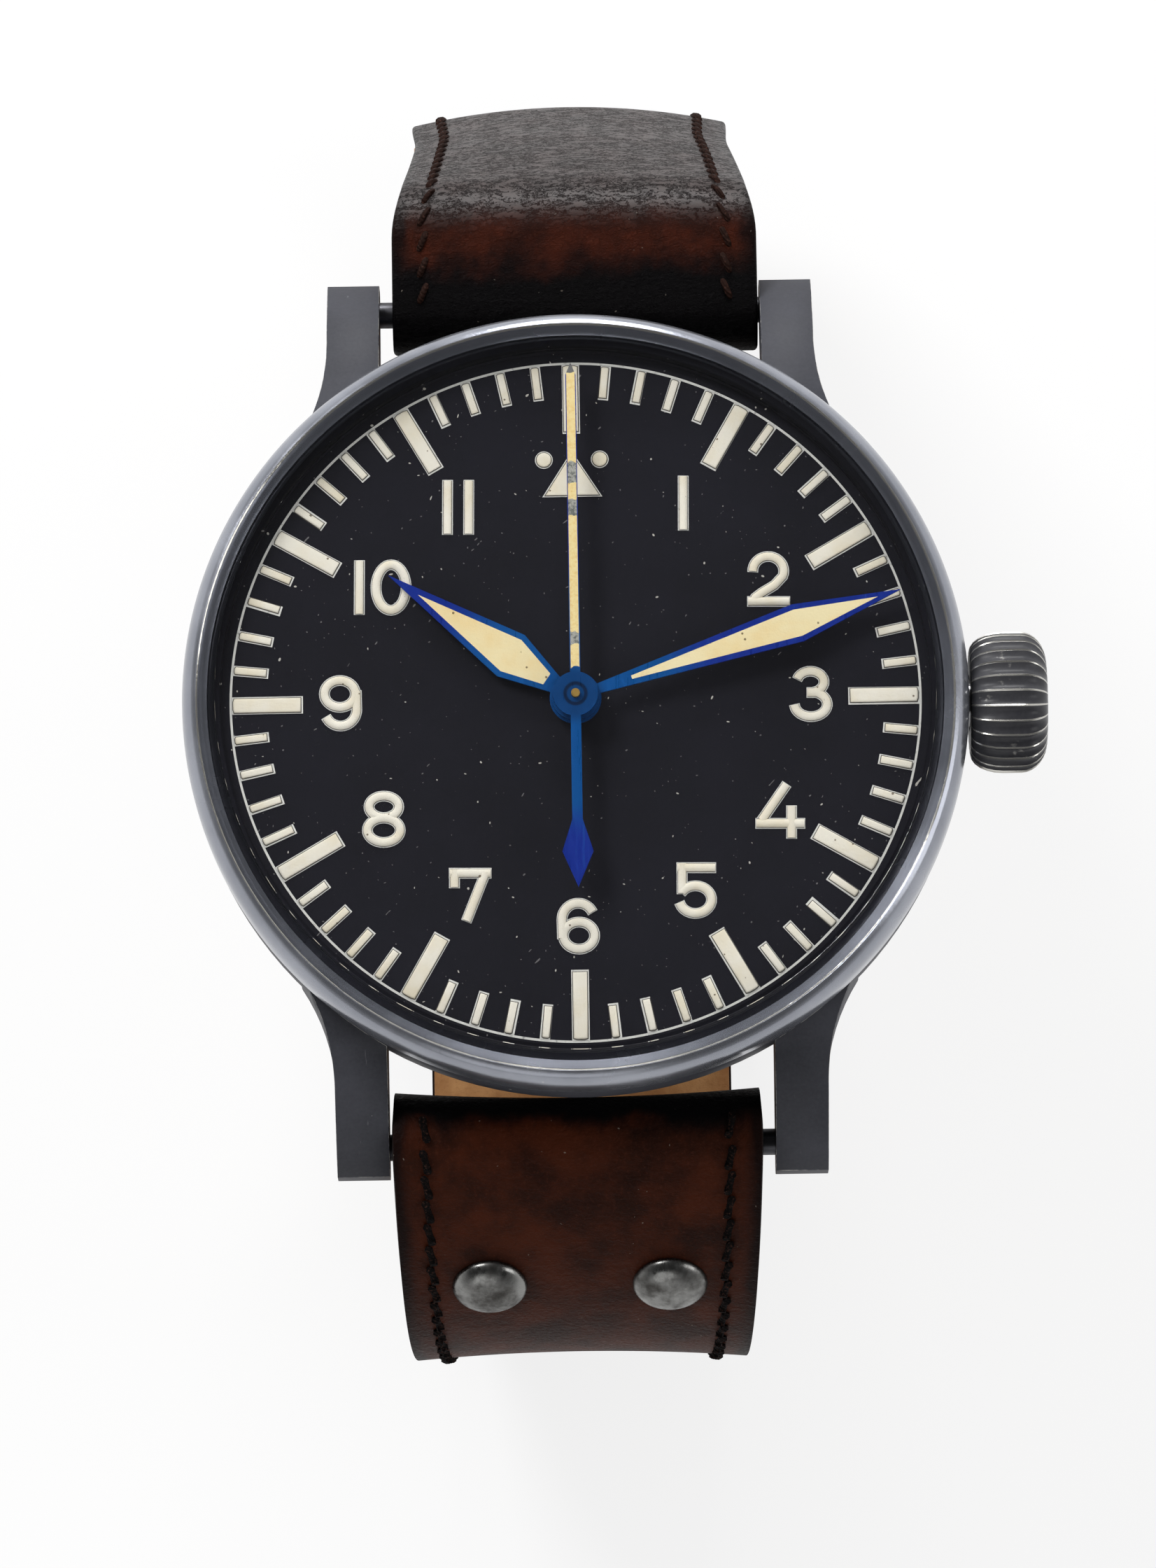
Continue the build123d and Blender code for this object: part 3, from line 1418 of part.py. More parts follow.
# Domed rivets of the lower strap, closed on the inside by a flat burr
rivet_back = -strap_thickness - plate_play
rivet_dome_rise = rivet_head_height - rivet_head_rim
with BuildPart() as strap_rivets:
    for side in (-1, 1):
        rivet_origin = (side * rivet_spacing / 2, *rivet_seat)
        with BuildSketch(Plane(origin=rivet_origin, x_dir=(1, 0, 0), z_dir=(0, -rivet_normal[1], rivet_normal[0]))):
            with BuildLine():
                Polyline(
                    (0, rivet_head_height),
                    (0, rivet_back - rivet_burr_height),
                    (rivet_burr_radius, rivet_back - rivet_burr_height),
                    (rivet_burr_radius, rivet_back),
                    (rivet_shank_radius, rivet_back),
                    (rivet_shank_radius, 0),
                    (rivet_head_radius, 0),
                    (rivet_head_radius, rivet_head_rim),
                )
                Polyline(*dome_points(rivet_head_radius, rivet_head_rim, rivet_dome_rise, rivet_head_rings))
            make_face()
        revolve(axis=Axis(rivet_origin, (0, *rivet_normal)))
save(strap_rivets, "strap_rivets")


def keeper(middle):
    """Add a closed loop round both straps, its outer face on the standing height."""
    inner_height = base_inner - tail_outer + 2 * keeper_play
    inner_width = strap_base_width + 2 * keeper_play
    level = (base_inner + tail_outer) / 2
    with BuildSketch(Plane.XZ.offset(keeper_length / 2 - middle)) as ring:
        with Locations((0, level)):
            RectangleRounded(inner_width + 2 * keeper_wall, inner_height + 2 * keeper_wall, keeper_corner)
            Rectangle(inner_width, inner_height, mode=Mode.SUBTRACT)
    extrude(ring.sketch, amount=-keeper_length)


# Keepers: one sewn to the short strap, one that slides
with BuildPart() as fixed_keeper:
    keeper(fixed_keeper_y)
save(fixed_keeper, "fixed_keeper")

with BuildPart() as sliding_keeper:
    keeper(sliding_keeper_y)
save(sliding_keeper, "sliding_keeper")

# Buckle: frame, pin and tongue
crossbar = (-buckle_reach, stand_height + buckle_arm_radius)
arm_inner = strap_base_width / 2 + buckle_arm_play
tongue_level = stand_height + tongue_seat + tongue_thickness / 2
tongue_knee = (-buckle_reach + buckle_arm_radius + tongue_knee_inset, tongue_level)
tongue_tip = (-buckle_reach - buckle_arm_radius - tongue_tip_overhang + tongue_thickness / 2, tongue_level)


def bar_outline(start, end, radius):
    """Draw a round-ended bar between two points of the side view."""
    with BuildSketch(Plane.YZ) as side:
        with Locations(start, end):
            Circle(radius)
        make_hull(side.sketch_local.edges())
    return side.sketch


with BuildPart() as buckle_frame:
    extrude(bar_outline(buckle_pin, crossbar, buckle_arm_radius), amount=arm_inner + buckle_arm_width, both=True)
    with BuildSketch(Plane.XY.offset(stand_height)):
        with Locations((0, -buckle_reach + buckle_arm_radius)):
            Rectangle(2 * arm_inner, 2 * buckle_reach, align=(Align.CENTER, Align.MIN))
    extrude(amount=-stand_height, mode=Mode.SUBTRACT)
    with BuildSketch(Plane.YZ):
        with Locations(buckle_pin):
            Circle(buckle_pin_radius + press_fit)
    extrude(amount=strap_width, both=True, mode=Mode.SUBTRACT)
    with BuildSketch(Plane.XY.offset(stand_height - overrun)):
        with Locations((0, -buckle_reach)):
            Rectangle(tongue_width + 2 * tongue_notch_play, 2 * (buckle_arm_radius + overrun))
    extrude(
        amount=overrun + tongue_seat + tongue_thickness + tongue_notch_play,
        mode=Mode.SUBTRACT,
    )
save(buckle_frame, "buckle_frame")

with BuildPart() as buckle_bar:
    with BuildSketch(Plane.YZ):
        with Locations(buckle_pin):
            Circle(buckle_pin_radius)
    extrude(amount=arm_inner + buckle_arm_width, both=True)
save(buckle_bar, "buckle_bar")

tongue_bore = buckle_pin_radius + seat_play
with BuildPart() as buckle_tongue:
    extrude(bar_outline(buckle_pin, tongue_knee, tongue_thickness / 2), amount=tongue_width / 2, both=True)
    extrude(bar_outline(tongue_knee, tongue_tip, tongue_thickness / 2), amount=tongue_width / 2, both=True)
    with BuildSketch(Plane.YZ):
        with Locations(buckle_pin):
            Circle(tongue_bore + tongue_ring_wall)
    extrude(amount=tongue_width / 2, both=True)
    with BuildSketch(Plane.YZ):
        with Locations(buckle_pin):
            Circle(tongue_bore)
    extrude(amount=tongue_width, both=True, mode=Mode.SUBTRACT)
save(buckle_tongue, "buckle_tongue")
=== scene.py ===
"""Dress the pilot watch: case, dial, hands, strap and studio.

Every length is in metres in the shared frame: Z runs out of the dial, Y to 12 o'clock, X to the crown,
and the origin is the centre of the case back's outer face.
"""

import logging
import math
from collections.abc import Callable, Iterable, Sequence
from dataclasses import dataclass
from enum import Enum
from typing import Any

import bpy
from mathutils import Matrix, Vector, noise


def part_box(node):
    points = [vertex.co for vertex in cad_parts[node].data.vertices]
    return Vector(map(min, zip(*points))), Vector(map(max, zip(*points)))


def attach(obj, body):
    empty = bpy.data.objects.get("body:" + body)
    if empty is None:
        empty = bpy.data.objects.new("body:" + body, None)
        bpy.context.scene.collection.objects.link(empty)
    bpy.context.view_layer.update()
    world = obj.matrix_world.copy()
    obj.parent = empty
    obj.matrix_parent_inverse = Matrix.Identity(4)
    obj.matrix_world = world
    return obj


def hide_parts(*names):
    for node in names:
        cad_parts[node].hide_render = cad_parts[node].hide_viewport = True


logging.basicConfig(level=logging.INFO, format="%(levelname)s %(message)s")
LOG = logging.getLogger("pilot_watch")

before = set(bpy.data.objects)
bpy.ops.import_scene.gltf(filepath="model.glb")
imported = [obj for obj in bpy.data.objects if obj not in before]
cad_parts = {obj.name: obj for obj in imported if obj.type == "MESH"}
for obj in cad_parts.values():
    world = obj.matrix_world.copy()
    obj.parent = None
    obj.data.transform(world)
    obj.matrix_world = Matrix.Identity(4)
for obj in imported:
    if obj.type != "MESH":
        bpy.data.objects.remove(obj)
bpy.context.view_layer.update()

MM = 0.001
WELD_DISTANCE = 0.001 * MM
CLOSED_GAP = 1e-6
Point = tuple[float, float]
Place = tuple[float, float, float]
Colour = tuple[float, float, float, float]
Link = bpy.types.NodeSocket


def tint(red: int, green: int, blue: int) -> Colour:
    """Turn a display colour, 0 to 255, into the linear colour of a shader.

    Args:
        red: Red part.
        green: Green part.
        blue: Blue part.

    Returns:
        Linear red, green, blue and full alpha.
    """
    parts = []
    for part in (red, green, blue):
        share = part / 255
        parts.append(share / 12.92 if share <= 0.04045 else ((share + 0.055) / 1.055) ** 2.4)
    return (parts[0], parts[1], parts[2], 1.0)


# Node building

NUMBER = "NodeSocketFloat"
VECTOR = "NodeSocketVector"
MIX_SHARE, MIX_FIRST, MIX_SECOND, MIX_RESULT = 0, 6, 7, 2


class Wiring:
    """Adds nodes to one node tree and joins them."""

    def __init__(self, tree: bpy.types.NodeTree) -> None:
        """Keep the tree that the nodes go into."""
        self.tree = tree

    def feed(self, socket: Link, value: Any) -> None:
        """Join a socket to another, or give it a plain value.

        Args:
            socket: The input socket.
            value: An output socket, a number, a vector or a colour.
        """
        if isinstance(value, bpy.types.NodeSocket):
            self.tree.links.new(value, socket)
        elif value is not None:
            socket.default_value = value

    def give(self, node: bpy.types.Node, inputs: dict[Any, Any]) -> None:
        """Feed several inputs of a node, by name or index."""
        for name, value in inputs.items():
            self.feed(node.inputs[name], value)

    def node(self, kind: str, inputs: dict[Any, Any] | None = None, **settings: Any) -> bpy.types.Node:
        """Add one node.

        Args:
            kind: Blender's node type name.
            inputs: Values or sockets by input name or index.
            **settings: Properties of the node.

        Returns:
            The new node.
        """
        made = self.tree.nodes.new(kind)
        for name, value in settings.items():
            setattr(made, name, value)
        self.give(made, inputs or {})
        return made

    def maths(self, operation: str, *values: Any, clamp: bool = False) -> Link:
        """Add a Math node.

        Args:
            operation: Name of the operation.
            *values: One to three values or sockets.
            clamp: Whether to hold the result between 0 and 1.

        Returns:
            The result socket.
        """
        made = self.node("ShaderNodeMath", dict(enumerate(values)), operation=operation, use_clamp=clamp)
        return made.outputs[0]

    def plus(self, first: Any, second: Any) -> Link:
        """Add two values."""
        return self.maths("ADD", first, second)

    def minus(self, first: Any, second: Any, clamp: bool = False) -> Link:
        """Take the second value from the first."""
        return self.maths("SUBTRACT", first, second, clamp=clamp)

    def times(self, first: Any, second: Any, clamp: bool = False) -> Link:
        """Multiply two values."""
        return self.maths("MULTIPLY", first, second, clamp=clamp)

    def parts(self, vector: Any) -> Any:
        """Return the X, Y and Z sockets of a vector."""
        return self.node("ShaderNodeSeparateXYZ", {0: vector}).outputs

    def spread(self, across: Any, rise: Any) -> Link:
        """Return the distance from an axis, given the two parts at right angles to it."""
        return self.maths("SQRT", self.plus(self.maths("POWER", across, 2.0), self.maths("POWER", rise, 2.0)))

    def mix(self, share: Any, first: Any, second: Any) -> Link:
        """Mix two colours.

        Args:
            share: How much of the second colour.
            first: First colour or socket.
            second: Second colour or socket.

        Returns:
            The colour socket.
        """
        made = self.node("ShaderNodeMix", data_type="RGBA", clamp_factor=True)
        for index, value in ((MIX_SHARE, share), (MIX_FIRST, first), (MIX_SECOND, second)):
            self.feed(made.inputs[index], value)
        return made.outputs[MIX_RESULT]

    def lay(self, base: Any, mask: Any, strength: float, colour: Colour) -> Link:
        """Lay a colour over another where a mask is bright.

        Args:
            base: Colour below.
            mask: Where the new colour goes.
            strength: How much of it shows there.
            colour: The new colour.

        Returns:
            The colour socket.
        """
        return self.mix(self.times(mask, strength), base, colour)

    def between(self, value: Any, low: float, high: float, to_low: float = 0.0, to_high: float = 1.0) -> Link:
        """Map a range of values smoothly onto another.

        Args:
            value: Value or socket.
            low: Start of the input range.
            high: End of the input range.
            to_low: Result at the start.
            to_high: Result at the end.

        Returns:
            The mapped value's socket.
        """
        made = self.node(
            "ShaderNodeMapRange",
            {0: value, 1: low, 2: high, 3: to_low, 4: to_high},
            interpolation_type="SMOOTHSTEP",
        )
        return made.outputs[0]

    def shift(self, value: Any, low: float, high: float, first: Any, second: Any, reach: float = 1.0) -> Link:
        """Pass from one colour to another while a value crosses a range.

        Args:
            value: Value or socket.
            low: Start of the range.
            high: End of the range.
            first: Colour below the range.
            second: Colour above it.
            reach: How far the mix goes towards the second colour.

        Returns:
            The colour socket.
        """
        return self.mix(self.between(value, low, high, 0.0, reach), first, second)

    def noise(self, vector: Any, scale: Any, detail: float = 3.0, roughness: float = 0.55) -> Link:
        """Add a Noise texture and return its value socket."""
        made = self.node(
            "ShaderNodeTexNoise", {"Vector": vector, "Scale": scale, "Detail": detail, "Roughness": roughness}
        )
        return made.outputs[0]

    def cells(self, vector: Any, scale: Any, feature: str = "F1", room: str = "3D") -> bpy.types.Node:
        """Add a Voronoi texture in two or three dimensions and return its node."""
        values = {"Vector": vector, "Scale": scale}
        return self.node("ShaderNodeTexVoronoi", values, feature=feature, voronoi_dimensions=room)

    def stretched(self, vector: Any, scale: Sequence[float], turn: float = 0.0) -> Link:
        """Scale and turn the coordinates.

        Args:
            vector: Coordinates.
            scale: Factor along each axis.
            turn: Turn about Z in degrees.

        Returns:
            The changed coordinates.
        """
        made = self.node(
            "ShaderNodeMapping", {"Vector": vector, "Scale": scale, "Rotation": (0, 0, math.radians(turn))}
        )
        return made.outputs[0]

    def bump(self, height: Any, depth: float, strength: float) -> Link:
        """Turn a height into a normal.

        Args:
            height: Height socket.
            depth: Height in metres of a value of 1.
            strength: How strongly it shows.

        Returns:
            The normal socket.
        """
        return self.node("ShaderNodeBump", {"Height": height, "Distance": depth, "Strength": strength}).outputs[0]


def effect(name: str, inputs: dict[str, Any], body: Callable[[Wiring, Any], dict[str, Link]]) -> bpy.types.NodeTree:
    """Build a shared effect as a node group, once.

    Args:
        name: Name of the group.
        inputs: Default number by input name, or None for a vector.
        body: Adds the nodes to the input sockets and returns a value for each output.

    Returns:
        The node group.
    """
    if name in bpy.data.node_groups:
        return bpy.data.node_groups[name]
    group = bpy.data.node_groups.new(name, "ShaderNodeTree")
    for socket, value in inputs.items():
        made = group.interface.new_socket(name=socket, in_out="INPUT", socket_type=VECTOR if value is None else NUMBER)
        if value is not None:
            made.default_value = value
    wiring = Wiring(group)
    results = body(wiring, wiring.node("NodeGroupInput").outputs)
    for socket in results:
        group.interface.new_socket(name=socket, in_out="OUTPUT", socket_type=NUMBER)
    wiring.node("NodeGroupOutput", results)
    return group


def specks_group(room: str = "3D") -> bpy.types.NodeTree:
    """Return the group that scatters small round specks: dust, pits or dirt; 2D suits a flat face or a UV map."""

    def body(wiring: Wiring, given: Any) -> dict[str, Link]:
        """Pick a share of the cells and draw a dot in each."""
        vector, scale = given["Vector"], given["Scale"]
        if room == "2D":
            drift = wiring.noise(vector, wiring.times(scale, 0.3), 1.0)
            reach = wiring.maths("DIVIDE", wiring.times(drift, 4.0), scale)
            vector = wiring.node("ShaderNodeVectorMath", {0: vector, 1: reach}, operation="ADD").outputs[0]
        cells = wiring.cells(vector, scale, room=room)
        red, green, blue = wiring.node("ShaderNodeSeparateColor", {0: cells.outputs["Color"]}).outputs[:3]
        pick = wiring.maths("FRACT", wiring.plus(wiring.times(red, 13.7), wiring.times(blue, 7.3)))
        radius = wiring.times(green, given["Size"])
        dot = wiring.maths("LESS_THAN", cells.outputs["Distance"], radius)
        chosen = wiring.maths("LESS_THAN", pick, given["Share"])
        return {"Mask": wiring.times(dot, chosen)}

    return effect("specks_" + room, {"Vector": None, "Scale": 1000.0, "Share": 0.1, "Size": 0.4}, body)


def wear_group() -> bpy.types.NodeTree:
    """Return the group that breaks a worn edge up into bright patches."""

    def body(wiring: Wiring, given: Any) -> dict[str, Link]:
        """Add noise to the edge value and cut it at a level."""
        vector, scale = given["Vector"], given["Scale"]
        broad = wiring.noise(vector, scale, 4.0, 0.65)
        fine = wiring.noise(vector, wiring.times(scale, 5.0), 2.0)
        rough = wiring.plus(broad, wiring.times(fine, 0.4))
        level = wiring.minus(wiring.plus(given["Edge"], rough), given["Level"])
        return {"Mask": wiring.times(level, given["Sharpness"], clamp=True)}

    inputs = {"Vector": None, "Edge": 0.0, "Scale": 300.0, "Level": 1.2, "Sharpness": 4.0}
    return effect("broken_wear", inputs, body)


def brushed_group() -> bpy.types.NodeTree:
    """Return the group of fine lines that brushing or turning leaves on metal."""

    def body(wiring: Wiring, given: Any) -> dict[str, Link]:
        """Lay two scales of stretched noise over each other."""
        vector, scale = given["Vector"], given["Scale"]
        coarse = wiring.noise(vector, scale, 4.0, 0.7)
        fine = wiring.noise(vector, wiring.times(scale, 4.0), 2.0)
        return {"Lines": wiring.plus(wiring.times(coarse, 0.6), wiring.times(fine, 0.4))}

    return effect("brushed_lines", {"Vector": None, "Scale": 500.0}, body)


def hide_group() -> bpy.types.NodeTree:
    """Return the group of a hide's grain: small pebbles, creases across and soft cloudiness."""

    def body(wiring: Wiring, given: Any) -> dict[str, Link]:
        """Join pebbles, cross creases and clouds."""
        vector, scale = given["Vector"], given["Scale"]
        warp = wiring.times(wiring.noise(vector, wiring.times(scale, 0.35), 2.0), 0.0012)
        moved = wiring.node("ShaderNodeVectorMath", {0: vector, 1: warp}, operation="ADD").outputs[0]
        pebbles = wiring.cells(moved, scale, "SMOOTH_F1").outputs["Distance"]
        creases = wiring.noise(wiring.stretched(moved, (1.0, 0.22, 1.0)), wiring.times(scale, 0.35), 5.0, 0.7)
        lines = wiring.between(wiring.maths("ABSOLUTE", wiring.minus(creases, 0.5)), 0.0, 0.09)
        height = wiring.plus(wiring.times(pebbles, -0.5), wiring.times(lines, given["Creases"]))
        cloud = wiring.noise(vector, wiring.times(scale, 0.06), 4.0, 0.6)
        grain = wiring.noise(vector, wiring.times(scale, 1.3), 3.0, 0.7)
        return {"Height": height, "Cloud": cloud, "Grain": grain}

    return effect("hide_grain", {"Vector": None, "Scale": 1800.0, "Creases": 0.5}, body)


def call(wiring: Wiring, group: bpy.types.NodeTree, inputs: dict[str, Any]) -> bpy.types.Node:
    """Place a shared effect in a material with its own values."""
    return wiring.node("ShaderNodeGroup", inputs, node_tree=group)


def specks(wiring: Wiring, place: Link, scale: float, share: float, size: float, room: str = "3D") -> Link:
    """Scatter specks over a material.

    Args:
        wiring: The material's nodes.
        place: Coordinates.
        scale: Cells in a metre.
        share: Share of the cells that hold a speck.
        size: Size of the largest speck, in cells.
        room: 3D, or 2D for a flat face or a UV map.

    Returns:
        The mask socket.
    """
    return call(wiring, specks_group(room), {"Vector": place, "Scale": scale, "Share": share, "Size": size}).outputs[0]


def brushed(wiring: Wiring, place: Link, scale: float) -> Link:
    """Return the lines that brushing or turning leaves along coordinates."""
    return call(wiring, brushed_group(), {"Vector": place, "Scale": scale}).outputs[0]


# Modelling with edit-mode operators and modifiers


def pick_only(shape: bpy.types.Object) -> None:
    """Select one object, make it active and drop every other."""
    bpy.ops.object.select_all(action="DESELECT")
    shape.select_set(True)
    bpy.context.view_layer.objects.active = shape


def face_out() -> None:
    """Turn every face of the mesh in edit mode outwards."""
    bpy.ops.mesh.select_all(action="SELECT")
    bpy.ops.mesh.normals_make_consistent(inside=False)


def flat(points: Iterable[Point], height: float) -> list[Vector]:
    """Lay plan points at one height, in metres.

    Args:
        points: X and Y in millimetres.
        height: Z in millimetres.

    Returns:
        Points in space.
    """
    return [Vector((x * MM, y * MM, height * MM)) for x, y in points]


def arc(centre: Point, radius: float, start: float, end: float, steps: int) -> list[Point]:
    """Place points evenly along an arc.

    Args:
        centre: Centre of the arc.
        radius: Radius.
        start: First angle in degrees.
        end: Last angle in degrees.
        steps: Number of steps.

    Returns:
        The points, both ends included.
    """
    angles = [math.radians(start + (end - start) * step / steps) for step in range(steps + 1)]
    return [(centre[0] + radius * math.cos(angle), centre[1] + radius * math.sin(angle)) for angle in angles]


def circle(centre: Point, radius: float, corners: int) -> list[Point]:
    """Place points evenly round a whole circle."""
    return arc(centre, radius, 0, 360 - 360 / corners, corners - 1)


def quarter(steps: int) -> list[float]:
    """Return the angles of a quarter turn in even steps, both ends included, in radians."""
    return [math.radians(90 * step / steps) for step in range(steps + 1)]


class Piece:
    """One mesh on the bench, shaped by edit-mode operators."""

    def __init__(self, name: str) -> None:
        """Clear the selection and start with a single point at the origin.

        Args:
            name: Name of the piece.
        """
        if bpy.context.object and bpy.context.object.mode != "OBJECT":
            bpy.ops.object.mode_set(mode="OBJECT")
        bpy.ops.object.select_all(action="DESELECT")
        bpy.ops.mesh.primitive_plane_add(size=MM, location=(0, 0, 0))
        self.shape = bpy.context.object
        self.shape.name = name
        self.shape.data.name = name
        bpy.ops.object.mode_set(mode="EDIT")
        bpy.ops.mesh.select_all(action="SELECT")
        bpy.ops.mesh.merge(type="CENTER")
        bpy.ops.mesh.select_mode(type="VERT")

    def trace(self, points: Sequence[Vector]) -> "Piece":
        """Draw a chain of edges from the piece's single point.

        Args:
            points: Corners of the chain, in metres.

        Returns:
            This piece.
        """
        bpy.ops.transform.translate(value=points[0])
        for start, end in zip(points, points[1:]):
            bpy.ops.mesh.extrude_region_move(TRANSFORM_OT_translate={"value": end - start})
        return self

    def close(self) -> "Piece":
        """Join the ends of the chain and fill it with one face."""
        bpy.ops.mesh.select_all(action="SELECT")
        bpy.ops.mesh.edge_face_add()
        return self

    def raise_by(self, height: float) -> "Piece":
        """Extrude the selected face straight up, in millimetres."""
        bpy.ops.mesh.extrude_region_move(TRANSFORM_OT_translate={"value": (0, 0, height * MM)})
        return self

    def inset(self, width: float, height: float = 0.0) -> "Piece":
        """Inset the selected face and lift it, in millimetres."""
        bpy.ops.mesh.inset(thickness=width * MM)
        bpy.ops.transform.translate(value=(0, 0, height * MM))
        return self

    def lathe(self, steps: int) -> "Piece":
        """Spin the chain once round Z and close the seam.

        Args:
            steps: Number of segments.

        Returns:
            This piece.
        """
        bpy.ops.mesh.select_all(action="SELECT")
        bpy.ops.mesh.spin(steps=steps, angle=2 * math.pi, center=(0, 0, 0), axis=(0, 0, 1))
        return self.weld()

    def weld(self) -> "Piece":
        """Merge doubles and turn every face outwards."""
        bpy.ops.mesh.select_all(action="SELECT")
        bpy.ops.mesh.remove_doubles(threshold=WELD_DISTANCE)
        face_out()
        return self

    def done(self, smooth: float = 35.0) -> bpy.types.Object:
        """Leave edit mode, apply the place and shade the piece.

        Args:
            smooth: Angle in degrees under which edges are smooth.

        Returns:
            The finished object.
        """
        bpy.ops.object.mode_set(mode="OBJECT")
        return finish_mesh(self.shape, smooth)


def finish_mesh(shape: bpy.types.Object, smooth: float = 35.0) -> bpy.types.Object:
    """Put a mesh's place into its points and shade it smooth under an angle.

    Args:
        shape: The object.
        smooth: Angle in degrees.

    Returns:
        The same object.
    """
    pick_only(shape)
    bpy.ops.object.transform_apply(location=True, rotation=True, scale=True)
    bpy.ops.object.shade_smooth_by_angle(angle=math.radians(smooth))
    return shape


def turn_out(shape: bpy.types.Object) -> None:
    """Flip a piece whose face furthest along X points inwards."""
    face = max(shape.data.polygons, key=lambda item: item.center.x)
    if face.normal.x < 0:
        shape.data.flip_normals()


def modify(shape: bpy.types.Object, kind: str, **settings: Any) -> None:
    """Add a modifier and apply it.

    Args:
        shape: The object.
        kind: Modifier type.
        **settings: The modifier's properties.
    """
    modifier = shape.modifiers.new(kind.title(), kind)
    for name, value in settings.items():
        setattr(modifier, name, value)
    bpy.context.view_layer.objects.active = shape
    bpy.ops.object.modifier_apply(modifier=modifier.name)


def bevel(shape: bpy.types.Object, width: float, segments: int, angle: float, **settings: Any) -> None:
    """Round a piece's edges that are sharper than an angle.

    Args:
        shape: The object.
        width: Width of the rounding in millimetres.
        segments: Its number of faces.
        angle: The angle in degrees.
        **settings: Other properties of the modifier.
    """
    limit = {"limit_method": "ANGLE", "angle_limit": math.radians(angle)}
    modify(shape, "BEVEL", width=width * MM, segments=segments, **limit, **settings)


def thicken(shape: bpy.types.Object, thickness: float, rounding: float) -> bpy.types.Object:
    """Give an open layer its thickness, with its cut edges in the second slot, and round them.

    Args:
        shape: The layer.
        thickness: Its thickness in millimetres.
        rounding: Width of the rounding in millimetres.

    Returns:
        The finished layer.
    """
    modify(shape, "SOLIDIFY", thickness=thickness * MM, offset=-1.0, use_even_offset=True, material_offset_rim=1)
    bevel(shape, rounding, 3, 50)
    return finish_mesh(shape, 50)


def turned(name: str, outline: Iterable[Point], steps: int, smooth: float) -> bpy.types.Object:
    """Turn an outline once round Z.

    Args:
        name: Name of the piece.
        outline: Radius and height of each point, in millimetres.
        steps: Number of segments.
        smooth: Angle in degrees under which edges are smooth.

    Returns:
        The finished piece.
    """
    points = [Vector((radius * MM, 0, height * MM)) for radius, height in outline]
    return Piece(name).trace(points).lathe(steps).done(smooth)


def tube(name: str, lines: Sequence[Sequence[Place]], radius: float, rounding: int) -> bpy.types.Object:
    """Draw round threads along lines and turn them into one mesh.

    Args:
        name: Name of the piece.
        lines: Points of each line, in millimetres; a closed line ends on its first point.
        radius: Radius of the threads in millimetres.
        rounding: Blender's bevel resolution.

    Returns:
        The mesh, not yet shaded.
    """
    curve = bpy.data.curves.new(name, "CURVE")
    curve.dimensions = "3D"
    curve.bevel_depth = radius * MM
    curve.bevel_resolution = rounding
    curve.use_fill_caps = True
    for line in lines:
        closed = math.dist(line[0], line[-1]) < CLOSED_GAP
        points = line[:-1] if closed else line
        spline = curve.splines.new("POLY")
        spline.points.add(len(points) - 1)
        for target, (x, y, z) in zip(spline.points, points):
            target.co = (x * MM, y * MM, z * MM, 1.0)
        spline.use_cyclic_u = closed
    shape = bpy.data.objects.new(name, curve)
    bpy.context.scene.collection.objects.link(shape)
    pick_only(shape)
    bpy.ops.object.convert(target="MESH")
    return bpy.context.object


def joined(name: str, shapes: Sequence[bpy.types.Object]) -> bpy.types.Object:
    """Join several objects into one.

    Args:
        name: Name of the result.
        shapes: The objects; the first one stays.

    Returns:
        The joined object.
    """
    bpy.ops.object.select_all(action="DESELECT")
    for shape in shapes:
        shape.select_set(True)
    bpy.context.view_layer.objects.active = shapes[0]
    if len(shapes) > 1:
        bpy.ops.object.join()
    shapes[0].name = name
    shapes[0].data.name = name
    return shapes[0]


def copied(shape: bpy.types.Object, place: Matrix) -> bpy.types.Object:
    """Copy a piece with its own mesh and put it in a new place.

    Args:
        shape: The model.
        place: Where the copy goes.

    Returns:
        The copy.
    """
    copy = shape.copy()
    copy.data = shape.data.copy()
    bpy.context.scene.collection.objects.link(copy)
    copy.data.transform(place)
    return copy


def settle(piece: bpy.types.Object, body: str, finish: "Finish", slot: str, *nodes: str) -> None:
    """Give a new piece its finish, its body and the nodes that it stands for.

    Args:
        piece: The piece.
        body: Body that it rides on.
        finish: Its finish.
        slot: Not used.
        *nodes: CAD nodes that it replaces.
    """
    piece.data.materials.clear()
    piece.data.materials.append(finish.made())
    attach(piece, body)
    if nodes:
        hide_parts(*nodes)
    LOG.info("%s: %d faces, rides on %s", piece.name, len(piece.data.polygons), body)


def dress(finish: "Finish", *nodes: str) -> None:
    """Give CAD nodes their finish.

    Args:
        finish: The finish.
        *nodes: Names of the nodes.
    """
    for node in nodes:
        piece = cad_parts[node]
        piece.data.materials.clear()
        piece.data.materials.append(finish.made())
        LOG.info("%s dressed in %s", node, finish.name)


# Finishes


class EdgeWear(Enum):
    """Where a painted piece has lost its paint."""

    NONE = "none"
    CREST = "crest"
    CORNER = "corner"
    RIDGES = "ridges"


